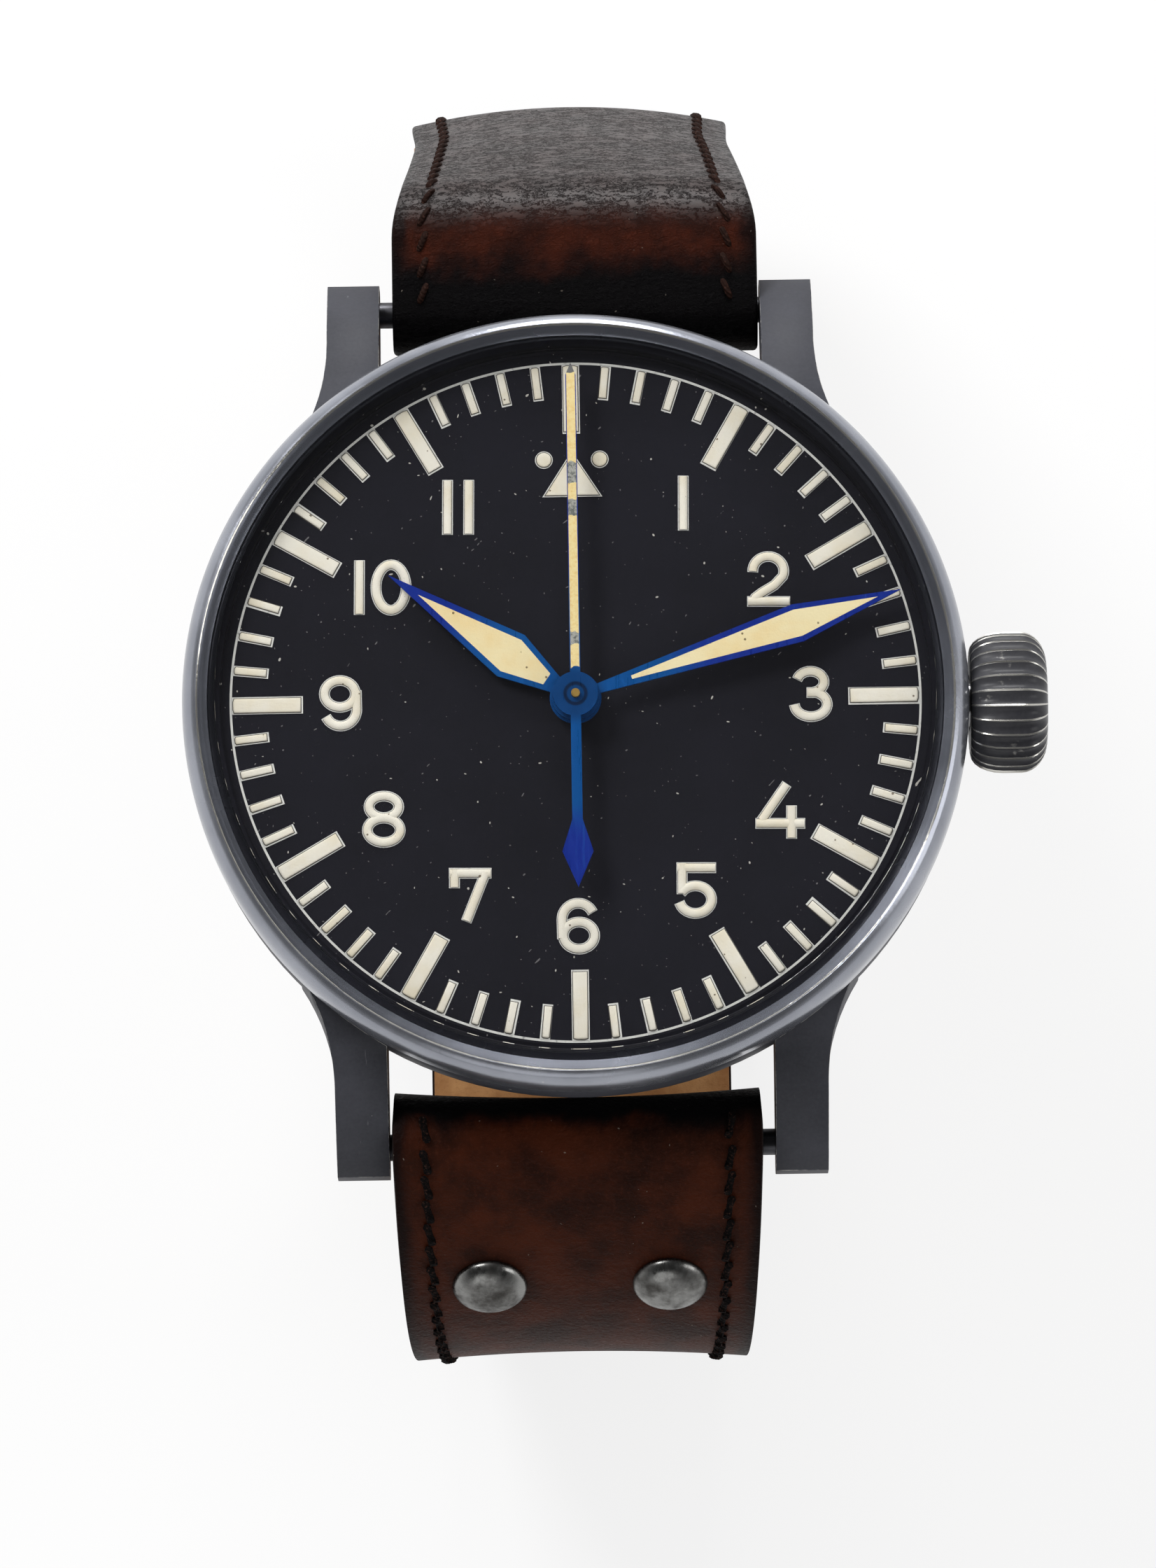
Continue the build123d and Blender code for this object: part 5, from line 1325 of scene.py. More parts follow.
    def place_camera(self) -> None:
        """Place the camera at the photograph's angle and distance."""
        angle, turn = math.radians(self.tilt), math.radians(self.roll)
        back = Vector((0, -math.sin(angle), math.cos(angle)))
        side, rise = Vector((1, 0, 0)), Vector((0, math.cos(angle), math.sin(angle)))
        right = side * math.cos(turn) - rise * math.sin(turn)
        up = rise * math.cos(turn) + side * math.sin(turn)
        target = Vector((0, 0, self.dial_height)) + right * self.aim[0] + up * self.aim[1]
        data = bpy.data.cameras.new("photo_camera")
        data.sensor_fit = "VERTICAL"
        data.sensor_width = self.sensor
        data.sensor_height = self.sensor
        data.lens = self.lens
        data.clip_start = 0.01
        camera = bpy.data.objects.new("photo_camera", data)
        bpy.context.scene.collection.objects.link(camera)
        axes = Matrix((right, up, back)).transposed()
        camera.matrix_world = Matrix.Translation((target + back * self.distance) * MM) @ axes.to_4x4()
        bpy.context.scene.camera = camera


# Case


@dataclass
class WatchCase:
    """Case band, bezel, back, bars and crown."""

    bezel_radius: float = 27.5
    bezel_seat: float = 25.71
    bezel_foot: float = 9.2
    foot_break: float = 0.4
    flank_top: float = 10.9
    crest_radius: float = 26.4
    crest_height: float = 13.05
    joint_height: float = 12.6
    crest_break: float = 0.12
    ring_steps: int = 240
    band_weld: float = 0.002
    band_flat: float = 0.6
    corner_width: float = 0.16
    crown_start: float = 27.65
    crown_length: float = 5.4
    crown_radius: float = 4.95
    crown_foot: float = 3.6
    crown_end: float = 2.8
    crown_flat: Point = (2.3, 3.6)
    crown_dish: tuple[Point, ...] = ((0.93, 0.0), (0.9, -0.12), (0.5, -0.16), (0.15, -0.18))
    crown_flutes: int = 28
    flute_points: int = 10
    flute_depth: float = 0.3
    flute_power: float = 0.8
    cap_share: float = 0.96
    stem_height: float = 7.2
    socket_radius: float = 2.0
    socket_depth: float = 1.75

    def build(self) -> None:
        """Build and dress the case."""
        self.turn_bezel()
        self.break_band_corners()
        self.flute_crown()
        dress(BACK_STEEL, "case_back")
        dress(POLISHED_STEEL, "crown_tube")
        dress(BAR_STEEL, "lug_bars")
        dress(SOFT_IRON, "dust_cover")
        dress(RING_METAL, "movement_ring")

    def turn_bezel(self) -> None:
        """Turn the bezel: broken foot, upright flank, rounded shoulder, worn crest and inner slope."""
        rise = self.crest_height - self.flank_top
        inset = self.bezel_radius - self.crest_radius
        shoulder = [
            (self.bezel_radius - inset * (1 - math.cos(turn)), self.flank_top + rise * math.sin(turn))
            for turn in quarter(10)[:-1]
        ]
        outline = [
            (self.bezel_seat, self.joint_height),
            (self.bezel_seat, self.bezel_foot),
            (self.bezel_radius - self.foot_break, self.bezel_foot),
            (self.bezel_radius, self.bezel_foot + self.foot_break),
            *shoulder,
            (self.crest_radius + self.crest_break, self.crest_height),
            (self.crest_radius - self.crest_break, self.crest_height - self.crest_break),
            (self.bezel_seat, self.joint_height),
        ]
        settle(turned("bezel_ring", outline, self.ring_steps, 40), "watch", BEZEL_PAINT, "case_paint", "bezel")

    def break_band_corners(self) -> None:
        """Copy the case band, clean its mesh and round its corners, where the paint wears first."""
        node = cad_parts["case_band"]
        band = node.copy()
        band.data = node.data.copy()
        band.parent = None
        band.name = band.data.name = "case_band_painted"
        for key in list(band.keys()):
            del band[key]
        bpy.context.scene.collection.objects.link(band)
        pick_only(band)
        bpy.ops.object.mode_set(mode="EDIT")
        bpy.ops.mesh.select_all(action="SELECT")
        bpy.ops.mesh.remove_doubles(threshold=self.band_weld * MM)
        bpy.ops.mesh.dissolve_limited(angle_limit=math.radians(self.band_flat))
        bpy.ops.object.mode_set(mode="OBJECT")
        settle(band, "watch", BAND_PAINT, "case_paint", "case_band")
        band.data.materials.append(CORNER_PAINT.made())
        bevel(band, self.corner_width, 2, 38, material=1, use_clamp_overlap=True)
        finish_mesh(band, 30)

    def crown_rings(self) -> list[Point]:
        """Return the crown's rings as distance along the stem and radius.

        Returns:
            Rings from the case outwards.
        """
        start, end = self.crown_flat
        swell, dome = self.crown_radius - self.crown_foot, self.crown_radius - self.crown_end
        rings = [(start * (1 - math.cos(turn)), self.crown_foot + swell * math.sin(turn)) for turn in quarter(6)]
        reach = self.crown_length - end
        rings += [(end + reach * math.sin(turn), self.crown_end + dome * math.cos(turn)) for turn in quarter(8)]
        return rings

    def flute_crown(self) -> None:
        """Turn the crown along the stem and press its concave flutes between narrow ridges."""
        corners = self.crown_flutes * self.flute_points
        bpy.ops.mesh.primitive_circle_add(vertices=corners, radius=self.socket_radius * MM, location=(0, 0, 0))
        crown = bpy.context.object
        bpy.ops.object.mode_set(mode="EDIT")
        bpy.ops.mesh.select_all(action="SELECT")
        steps = [(self.socket_depth, self.socket_radius), (0.0, self.socket_radius), *self.crown_rings()]
        reach, radius = steps[0]
        bpy.ops.transform.translate(value=(0, 0, reach * MM))
        for next_reach, next_radius in steps[1:]:
            bpy.ops.mesh.extrude_region_move(TRANSFORM_OT_translate={"value": (0, 0, (next_reach - reach) * MM)})
            share = next_radius / radius
            bpy.ops.transform.resize(value=(share, share, 1), center_override=(0, 0, next_reach * MM))
            reach, radius = next_reach, next_radius
        for share, dish in self.crown_dish:
            bpy.ops.mesh.extrude_region_move(TRANSFORM_OT_translate={"value": (0, 0, dish * MM / 2)})
            reach += dish / 2
            shrink = share * self.crown_end / radius
            bpy.ops.transform.resize(value=(shrink, shrink, 1), center_override=(0, 0, reach * MM))
            radius = share * self.crown_end
        bpy.ops.mesh.edge_face_add()
        face_out()
        bpy.ops.object.mode_set(mode="OBJECT")
        self.press_flutes(crown)
        crown.name = crown.data.name = "crown_fluted"
        finish_mesh(crown, 30)
        settle(crown, "crown_and_stem", CROWN_PAINT, "crown_steel", "crown")

    def press_flutes(self, crown: bpy.types.Object) -> None:
        """Press the flutes into the turned crown and lay it along the stem.

        Args:
            crown: The turned crown, standing on the origin.
        """
        for vertex in crown.data.vertices:
            spread = math.hypot(vertex.co.x, vertex.co.y)
            turn = math.atan2(vertex.co.x, vertex.co.y)
            if spread > self.crown_end * MM * self.cap_share:
                share = (turn * self.crown_flutes / (2 * math.pi)) % 1.0
                dip = math.sin(math.pi * share) ** self.flute_power
                spread -= self.flute_depth * MM * dip * min(1.0, spread / (self.crown_radius * MM)) ** 2
            across, rise = spread * math.sin(turn), spread * math.cos(turn)
            vertex.co = Vector((self.crown_start * MM + vertex.co.z, across, self.stem_height * MM + rise))
        turn_out(crown)


@dataclass
class Crystal:
    """Domed acrylic crystal with a bevelled edge."""

    seat_radius: float = 25.7
    seat_height: float = 11.2
    edge_height: float = 12.6
    bevel_radius: float = 25.1
    bevel_height: float = 13.9
    dome_rise: float = 1.5
    wall_radius: float = 24.75
    vault_height: float = 13.2
    vault_rise: float = 0.8
    rings: int = 14
    ring_steps: int = 192

    def dome(self, radius: float, height: float, rise: float) -> list[Point]:
        """Return a shallow dome's outline from its edge to just off the axis.

        Args:
            radius: Radius of the edge.
            height: Height of the edge.
            rise: Height of the middle over the edge.

        Returns:
            Radius and height of each point.
        """
        ball = (radius * radius + rise * rise) / (2 * rise)
        spreads = [radius * (1 - step / self.rings) for step in range(self.rings + 1)]
        return [(spread, height + rise - ball + math.sqrt(ball * ball - spread * spread)) for spread in spreads]

    def build(self) -> None:
        """Turn the crystal in one closed wall."""
        outline = [
            *reversed(self.dome(self.wall_radius, self.vault_height, self.vault_rise)),
            (self.wall_radius, self.seat_height),
            (self.seat_radius, self.seat_height),
            (self.seat_radius, self.edge_height),
            *self.dome(self.bevel_radius, self.bevel_height, self.dome_rise),
        ]
        settle(turned("domed_crystal", outline, self.ring_steps, 25), "watch", CRYSTAL, "crystal_glass", "crystal")


# Dial and hands


@dataclass(frozen=True)
class Numeral:
    """One painted numeral: its place and the middle lines of its strokes, in millimetres."""

    word: str
    place: Point
    strokes: tuple[tuple[Point, ...], ...]


@dataclass
class DialFace:
    """Painted track, batons, triangle, dots and numerals, lying on the dial."""

    dial_top: float = 10.3
    ink: float = 0.02
    paste: float = 0.16
    track_radius: float = 24.0
    track_width: float = 0.16
    minute_size: Point = (0.6, 2.4)
    hour_size: Point = (1.1, 4.9)
    ink_margin: float = 0.06
    stroke: float = 0.63
    dot_radius: float = 0.56
    dot_place: Point = (1.95, 17.1)
    triangle: tuple[float, float, float] = (17.6, 14.5, 3.95)
    roll: float = 0.92
    stroke_gap: float = 10.0
    paste_foot: float = 0.01
    paste_steps: tuple[Point, ...] = ((0.045, 0.0), (0.02, 0.08), (0.06, 0.03), (0.08, 0.01))
    paste_gap: float = 0.05
    paste_shoulder: float = 0.12
    paste_tip: float = 0.03
    ink_run: float = 0.02
    slip_turn: float = 0.25
    slip_shift: Point = (0.06, 0.05)
    slip_stretch: float = 0.05
    ribbon_under: float = -0.05
    ribbon_foot: float = -0.2
    ribbon_lift: Point = (0.01, 0.2)
    ribbon_edge: float = 0.12
    ribbon_shoulder: Point = (0.32, 0.75)

    def build(self) -> None:
        """Build and dress the dial."""
        dress(DIAL_PAINT, "dial")
        dress(FLANGE_PAINT, "dial_flange")
        self.print_track()
        self.lay_batons("minute_batons", self.minute_size, [step for step in range(60) if step % 5])
        self.lay_batons("hour_batons", self.hour_size, list(range(0, 60, 5)))
        self.lay_triangle()
        self.lay_dots()
        for numeral in self.numerals():
            self.lay_numeral(numeral)

    def print_track(self) -> None:
        """Print the ring that the batons hang from."""
        low, high = self.dial_top, self.dial_top + self.ink
        inner, outer = self.track_radius - self.track_width / 2, self.track_radius + self.track_width / 2
        outline = [(inner, low), (outer, low), (outer, high), (inner, high), (inner, low)]
        settle(turned("minute_track", outline, 360, 20), "watch", DIAL_PRINT, "dial_paint")

    def tablet(self, name: str, outline: Sequence[Point], domed: bool) -> bpy.types.Object:
        """Raise one flat mark: a thin layer of ink, or paste with a rounded shoulder.

        Args:
            name: Name of the mark.
            outline: Its corners in millimetres.
            domed: Whether it is paste.

        Returns:
            The mark.
        """
        piece = Piece(name).trace(flat(outline, self.dial_top + (self.ink if domed else 0.0))).close()
        piece.raise_by(self.paste_foot if domed else self.ink)
        for width, height in self.paste_steps if domed else ():
            piece.inset(width, height)
        face_out()
        return piece.done(50)

    def lay_batons(self, name: str, size: Point, steps: Sequence[int]) -> None:
        """Lay one baton and its ink at each of the given minutes.

        Args:
            name: Name of the set.
            size: Width and length of a baton.
            steps: Minutes that have one.
        """
        half, length = size[0] / 2, size[1]
        outer = self.track_radius - self.track_width / 2
        foot, shoulder, tip = outer - length + self.paste_gap, outer - self.paste_shoulder, outer - self.paste_tip
        paste = [(-half, foot), (half, foot), (half, shoulder), (half / 2, tip), (-half / 2, tip), (-half, shoulder)]
        edge, low, high = half + self.ink_margin, outer - length - self.ink_margin, outer + self.ink_run
        ink = [(-edge, low), (edge, low), (edge, high), (-edge, high)]
        self.ring_of(name + "_paste", self.tablet(name, paste, True), steps, DIAL_LUME, True)
        self.ring_of(name + "_ink", self.tablet(name, ink, False), steps, DIAL_PRINT, False)

    def ring_of(self, name: str, model: bpy.types.Object, steps: Sequence[int], finish: Finish, worn: bool) -> None:
        """Copy a mark round the dial and join the copies.

        Args:
            name: Name of the joined piece.
            model: The mark at 12 o'clock.
            steps: Minutes that have one.
            finish: Its finish.
            worn: Whether each copy differs a little, as hand-laid paste does.
        """
        copies = []
        for step in steps:
            slip = noise.noise(Vector((step * 1.7, 3.1, 0.0))) if worn else 0.0
            stretch = 1.0 + (self.slip_stretch * noise.noise(Vector((step * 0.9, 7.7, 0.0))) if worn else 0.0)
            turn = Matrix.Rotation(-math.radians(6 * step + self.slip_turn * slip), 4, "Z")
            shift = Matrix.Translation((self.slip_shift[0] * slip * MM, self.slip_shift[1] * slip * MM, 0))
            copies.append(copied(model, turn @ shift @ Matrix.Diagonal((stretch, 1.0, 1.0, 1.0))))
        bpy.data.objects.remove(model)
        self.keep(joined(name, copies), finish)

    def keep(self, piece: bpy.types.Object, finish: Finish) -> None:
        """Finish one mark and let it ride on the dial."""
        settle(finish_mesh(piece, 50), "watch", finish, "dial_paint")

    def lay_mark(self, name: str, paste: Sequence[Point], ink: Sequence[Point]) -> None:
        """Lay one mark of paste on its ink.

        Args:
            name: Name of the mark.
            paste: Outline of the paste.
            ink: Outline of the ink.
        """
        self.keep(self.tablet(f"{name}_paste", paste, True), DIAL_LUME)
        self.keep(self.tablet(f"{name}_ink", ink, False), DIAL_PRINT)

    def lay_triangle(self) -> None:
        """Lay the orientation triangle."""
        top, base, width = self.triangle
        half, grow = width / 2, self.ink_margin
        paste = [(-half, base), (half, base), (0.0, top)]
        ink = [(-half - 2 * grow, base - grow), (half + 2 * grow, base - grow), (0.0, top + 2 * grow)]
        self.lay_mark("triangle", paste, ink)

    def lay_dots(self) -> None:
        """Lay the two dots beside the triangle."""
        for side, name in ((-1, "left"), (1, "right")):
            centre = (side * self.dot_place[0], self.dot_place[1])
            paste, ink = (circle(centre, self.dot_radius + margin, 48) for margin in (0.0, self.ink_margin))
            self.lay_mark(f"{name}_dot", paste, ink)

    def lay_numeral(self, numeral: Numeral) -> None:
        """Lay a numeral's strokes as low ribbons of paste over its ink.

        Args:
            numeral: The numeral.
        """
        name, half = f"numeral_{numeral.word}", self.stroke / 2
        self.keep(self.ribbons(f"{name}_paste", numeral, half, self.paste, 0.0), DIAL_LUME)
        ink = self.ribbons(f"{name}_ink", numeral, half + self.ink_margin, self.ink, self.ink_margin)
        self.keep(ink, DIAL_PRINT)

    def rolled(self, point: Point) -> Point:
        """Turn a point with the dial, whose numerals stand a little clockwise."""
        x, y = point
        turn = math.radians(self.roll)
        return x * math.cos(turn) + y * math.sin(turn), y * math.cos(turn) - x * math.sin(turn)

    def ribbons(self, name: str, numeral: Numeral, half: float, height: float, extra: float) -> bpy.types.Object:
        """Draw a numeral's strokes as flattened round ribbons.

        Each stroke is drawn as a tube at a level of its own, and then pressed flat on the dial.

        Args:
            name: Name of the piece.
            numeral: The numeral.
            half: Half the stroke's width.
            height: Height over the dial.
            extra: How far open ends run on.

        Returns:
            The numeral as one mesh.
        """
        across, rise = self.rolled(numeral.place)
        lines = []
        for index, stroke in enumerate(numeral.strokes):
            points = list(stroke)
            if points[0] != points[-1]:
                points[0] = self.run_on(points[1], points[0], extra)
                points[-1] = self.run_on(points[-2], points[-1], extra)
            level = index * self.stroke_gap
            lines.append([(across + x, rise + y, level) for x, y in (self.rolled(point) for point in points)])
        shape = tube(name, lines, half, 4)
        for vertex in shape.data.vertices:
            index = round(vertex.co.z / (self.stroke_gap * MM))
            share = (vertex.co.z / MM - index * self.stroke_gap) / half
            shoulder = self.ribbon_edge + (1 - self.ribbon_edge) * fade(share, *self.ribbon_shoulder)
            level = self.ribbon_foot if share < self.ribbon_under else shoulder
            lift = index * min(self.ribbon_lift[0], self.ribbon_lift[1] * height) if level > 0 else 0.0
            vertex.co.z = (self.dial_top + height * level + lift) * MM
        return shape

    def run_on(self, before: Point, end: Point, extra: float) -> Point:
        """Return a stroke's end moved on along its last run."""
        run = math.dist(before, end)
        return (end[0] + (end[0] - before[0]) / run * extra, end[1] + (end[1] - before[1]) / run * extra)

    def numerals(self) -> list[Numeral]:
        """Return the eleven numerals, upright, each round its own centre.

        Returns:
            The numerals.
        """
        bar = ((0.0, -1.9), (0.0, 1.9))
        hook = self.oval((0.0, 0.6), 1.08, 1.03, 182, -22, 18)
        two = ((*hook, (0.42, -0.42), (-0.45, -0.95), (-0.92, -1.3), (-1.08, -1.75)), ((-1.42, -1.57), (1.46, -1.57)))
        three = (
            self.oval((-0.02, 0.87), 0.94, 0.75, 165, -75, 18),
            self.oval((0.0, -0.72), 1.14, 0.88, 74, -176, 22),
            ((-0.24, 0.11), (0.6, 0.11)),
        )
        four = (((0.43, 1.85), (-1.3, -0.68)), ((-1.67, -0.88), (1.67, -0.88)), ((0.78, 0.32), (0.78, -1.9)))
        five = (
            ((-1.25, 1.6), (1.38, 1.6)),
            ((-0.92, 1.9), (-0.92, -0.2)),
            self.oval((0.0, -0.64), 1.12, 0.97, 148, -166, 22),
        )
        nine = (
            self.oval((-0.04, 0.66), 1.08, 0.95, 0, 360, 36),
            ((1.1, 0.85), *self.oval((0.02, -0.45), 1.12, 1.16, 0, -152, 18)),
        )
        six = tuple(tuple((-x, -y) for x, y in stroke) for stroke in nine)
        seven = (((-1.42, 1.52), (1.42, 1.52)), ((-1.09, 1.75), (-1.09, 0.52)), ((1.08, 1.6), (-0.25, -1.83)))
        eight = (self.oval((0, 0.89), 1.03, 0.76, 0, 360, 34), self.oval((0, -0.76), 1.14, 0.86, 0, 360, 36))
        nought = self.oval((0.6, 0), 1.05, 1.62, 0, 360, 40)
        return [
            Numeral("one", (7.5, 14.0), (bar,)),
            Numeral("two", (13.42, 8.57), two),
            Numeral("three", (16.35, 0.44), three),
            Numeral("four", (14.2, -7.8), four),
            Numeral("five", (8.3, -13.4), five),
            Numeral("six", (0.2, -15.9), six),
            Numeral("seven", (-7.3, -13.7), seven),
            Numeral("eight", (-13.3, -8.4), eight),
            Numeral("nine", (-16.35, -0.2), nine),
            Numeral("ten", (-13.46, 8.0), (((-1.61, -1.88), (-1.61, 1.88)), nought)),
            Numeral("eleven", (-8.2, 13.7), (((-0.74, -1.9), (-0.74, 1.9)), ((0.74, -1.9), (0.74, 1.9)))),
        ]

    def oval(self, centre: Point, wide: float, high: float, start: float, end: float, steps: int) -> tuple[Point, ...]:
        """Return points round an oval.

        Args:
            centre: Centre.
            wide: Half its width.
            high: Half its height.
            start: First angle in degrees.
            end: Last angle in degrees.
            steps: Number of steps.

        Returns:
            The points; a full turn ends on its first point.
        """
        points = [(centre[0] + wide * x, centre[1] + high * y) for x, y in arc((0, 0), 1, start, end, steps)]
        if abs(end - start) == 360:
            points[-1] = points[0]
        return tuple(points)


class Hands:
    """Two blued hands with their paste, and the painted seconds hand."""

    def build(self) -> None:
        """Dress the three hands and their fillings."""
        dress(BLUE, "hour_hand", "minute_hand")
        dress(SECONDS_PAINT, "seconds_hand")
        dress(HAND_LUME, "hour_hand_lume", "minute_hand_lume")


# Strap


@dataclass(frozen=True)
class Bend:
    """One stretch of a strap's route: a straight run, or an arc where it turns."""

    size: float
    turn: float = 0.0

    @property
    def length(self) -> float:
        """Return the stretch's length."""
        return self.size if self.turn == 0 else self.size * math.radians(abs(self.turn))


class Route:
    """A strap's outer face in the side view, where the first coordinate is Y and the second is Z."""

    def __init__(self, start: Point, heading: float, bends: Sequence[Bend]) -> None:
        """Keep the stretches with the place where each starts.

        Args:
            start: First point.
            heading: First direction in degrees.
            bends: The stretches in order.
        """
        self.stretches: list[tuple[float, Point, float, Bend]] = []
        self.length = 0.0
        for bend in bends:
            self.stretches.append((self.length, start, heading, bend))
            start, heading = self.step(start, heading, bend, bend.length)
            self.length += bend.length

    def step(self, start: Point, heading: float, bend: Bend, run: float) -> tuple[Point, float]:
        """Follow one stretch for a distance.

        Args:
            start: Where it starts.
            heading: Direction there, in degrees.
            bend: The stretch.
            run: Distance along it.

        Returns:
            The point reached and the direction there.
        """
        angle = math.radians(heading)
        if bend.turn == 0:
            return (start[0] + run * math.cos(angle), start[1] + run * math.sin(angle)), heading
        side = math.copysign(1.0, bend.turn)
        centre = (start[0] - side * bend.size * math.sin(angle), start[1] + side * bend.size * math.cos(angle))
        end = angle + side * run / bend.size
        point = (centre[0] + side * bend.size * math.sin(end), centre[1] - side * bend.size * math.cos(end))
        return point, math.degrees(end)

    def at(self, distance: float) -> tuple[Point, float]:
        """Return the point and direction at a distance from the start.

        Args:
            distance: Distance along the route, in millimetres.

        Returns:
            The point, and the direction in degrees.
        """
        found = self.stretches[0]
        for stretch in self.stretches:
            if stretch[0] <= distance + 1e-9:
                found = stretch
        return self.step(found[1], found[2], found[3], distance - found[0])


@dataclass
class StrapHalf:
    """One half of the strap: a sewn band of leather on its lining."""

    name: str
    route: Route
    outer_side: float
    lining_start: float
    lining_end: float
    taper_top: float
    leather: Leather
    crowning: float
    tail: float = 0.0
    width: float = 26.0
    base_width: float = 22.0
    base_height: float = -35.141
    leather_thickness: float = 1.5
    lining_thickness: float = 0.7
    lining_inset: float = 0.12
    rounding: float = 0.28
    across: int = 26
    pitch: float = 0.6
    stitch_inset: float = 2.2
    stitch_pitch: float = 1.9
    stitch_length: float = 1.5
    stitch_start: float = 9.0
    stitch_end: float = 3.0
    stitch_radius: float = 0.22
    stitch_slant: float = 22.0
    stitch_profile: tuple[Point, ...] = ((-1, -0.3), (-0.8, -0.02), (-0.3, 0.08), (0.3, 0.08), (0.8, -0.02), (1, -0.3))
    stitch_probe: Point = (0.4, 0.03)
    thread: Thread = THREAD
    tip: float = 0.02
    waist: float = 0.0
    waist_rise: Point = (13.0, 19.0)
    waist_fall: Point = (34.0, 46.0)
    crown_rise: Point = (10.0, 32.0)
    crown_fall: Point = (45.0, 30.0)
    crown_middle: float = 1.0
    swell: float = 0.0
    swell_rise: Point = (0.3, 2.4)
    swell_fall: Point = (5.5, 10.0)
    shift: float = 0.0
    shift_fall: Point = (24.0, 60.0)
    cuts: tuple[tuple[Point, ...], ...] = ()
    cut_span: Point = (-43.0, -36.3)

    def half_width(self, height: float, distance: float) -> float:
        """Return half the strap's width at a height and a distance along it."""
        share = min(1.0, max(0.0, (self.taper_top - height) / (self.taper_top - self.base_height)))
        half = (self.width + (self.base_width - self.width) * share) / 2
        half -= swelling(self.waist, distance, self.waist_rise, self.waist_fall)
        left = self.route.length - distance
        if self.tail and left < self.tail:
            half = min(half, math.sqrt(max(0.0, self.tail**2 - (self.tail - left) ** 2)) + self.tip)
        return half

    def crown_at(self, distance: float) -> float:
        """Return how far the strap is curled across its width at a distance along it."""
        start, end = self.crown_fall
        return swelling(self.crowning, distance, self.crown_rise, (self.route.length - start, self.route.length - end))

    def place(self, distance: float, share: float, depth: float) -> Vector:
        """Return a point of the strap.

        Args:
            distance: Distance along the route, in millimetres.
            share: Place across, from -1 to 1.
            depth: Depth under the outer face, in millimetres.

        Returns:
            The point in metres.
        """
        (y, z), heading = self.route.at(distance)
        angle = math.radians(heading) + self.outer_side * math.pi / 2
        half = self.half_width(z, distance)
        out = self.crown_at(distance) * (self.crown_middle - share * share) - depth
        out += swelling(self.swell, distance, self.swell_rise, self.swell_fall)
        aside = self.shift * (1 - fade(distance, *self.shift_fall))
        return Vector((share * half + aside, y + out * math.cos(angle), z + out * math.sin(angle))) * MM

    def band(
        self, name: str, start: float, end: float, depth: float, thickness: float, inset: float
    ) -> bpy.types.Object:
        """Lay one layer of the strap along the route, give it its thickness and round its edges.

        Args:
            name: Name of the layer.
            start: Where it starts along the route.
            end: Where it ends.
            depth: How deep its outer face lies.
            thickness: Its thickness.
            inset: How far its edges stay inside the strap's.

        Returns:
            The layer.
        """
        rows = max(8, round((end - start) / self.pitch))
        bpy.ops.mesh.primitive_grid_add(
            x_subdivisions=self.across, y_subdivisions=rows, size=1.0, location=(0, 0, 0), calc_uvs=True
        )
        layer = bpy.context.object
        layer.name = layer.data.name = name
        edge = 1.0 - inset / (self.width / 2)
        uv = layer.data.uv_layers.active
        uv.name = "UVMap"
        for loop in layer.data.loops:
            co = layer.data.vertices[loop.vertex_index].co
            uv.data[loop.index].uv = ((start + (co.y + 0.5) * (end - start)) * MM, co.x * self.width * MM)
        for vertex in layer.data.vertices:
            distance = start + (vertex.co.y + 0.5) * (end - start)
            vertex.co = self.place(distance, vertex.co.x * 2 * edge, depth)
        self.face_outwards(layer, (start + end) / 2)
        return thicken(layer, thickness, self.rounding)

    def face_outwards(self, layer: bpy.types.Object, distance: float) -> None:
        """Turn an open layer's faces to the strap's outer side."""
        point = self.place(distance, 0.0, 0.0)
        outward = point - self.place(distance, 0.0, 1.0)
        face = min(layer.data.polygons, key=lambda item: (item.center - point).length)
        if face.normal.dot(outward) < 0:
            layer.data.flip_normals()

    def build(self) -> None:
        """Build the leather, the lining and the stitches."""
        outer = self.band(f"{self.name}_leather_band", 0.0, self.route.length, 0.0, self.leather_thickness, 0.0)
        inner = self.band(
            f"{self.name}_lining_band", self.lining_start, self.lining_end, self.leather_thickness,
            self.lining_thickness, self.lining_inset,
        )
        for layer, finish, slot, node in (
            (outer, self.leather, "strap_leather", f"{self.name}_strap"),
            (inner, LINING, "lining_leather", f"{self.name}_lining"),
        ):
            self.pierce(layer)
            settle(layer, "watch", finish, slot, node)
            layer.data.materials.append(EDGE.made())
        self.sew()

    def pierce(self, layer: bpy.types.Object) -> None:
        """Cut the slots and holes of the strap's flat end through a layer."""
        low, high = self.cut_span
        for outline in self.cuts:
            piece = Piece("strap_cutter").trace(flat(outline, low)).close().raise_by(high - low)
            face_out()
            cutter = piece.done(30)
            modify(layer, "BOOLEAN", object=cutter, operation="DIFFERENCE", solver="EXACT")
            bpy.data.objects.remove(cutter)

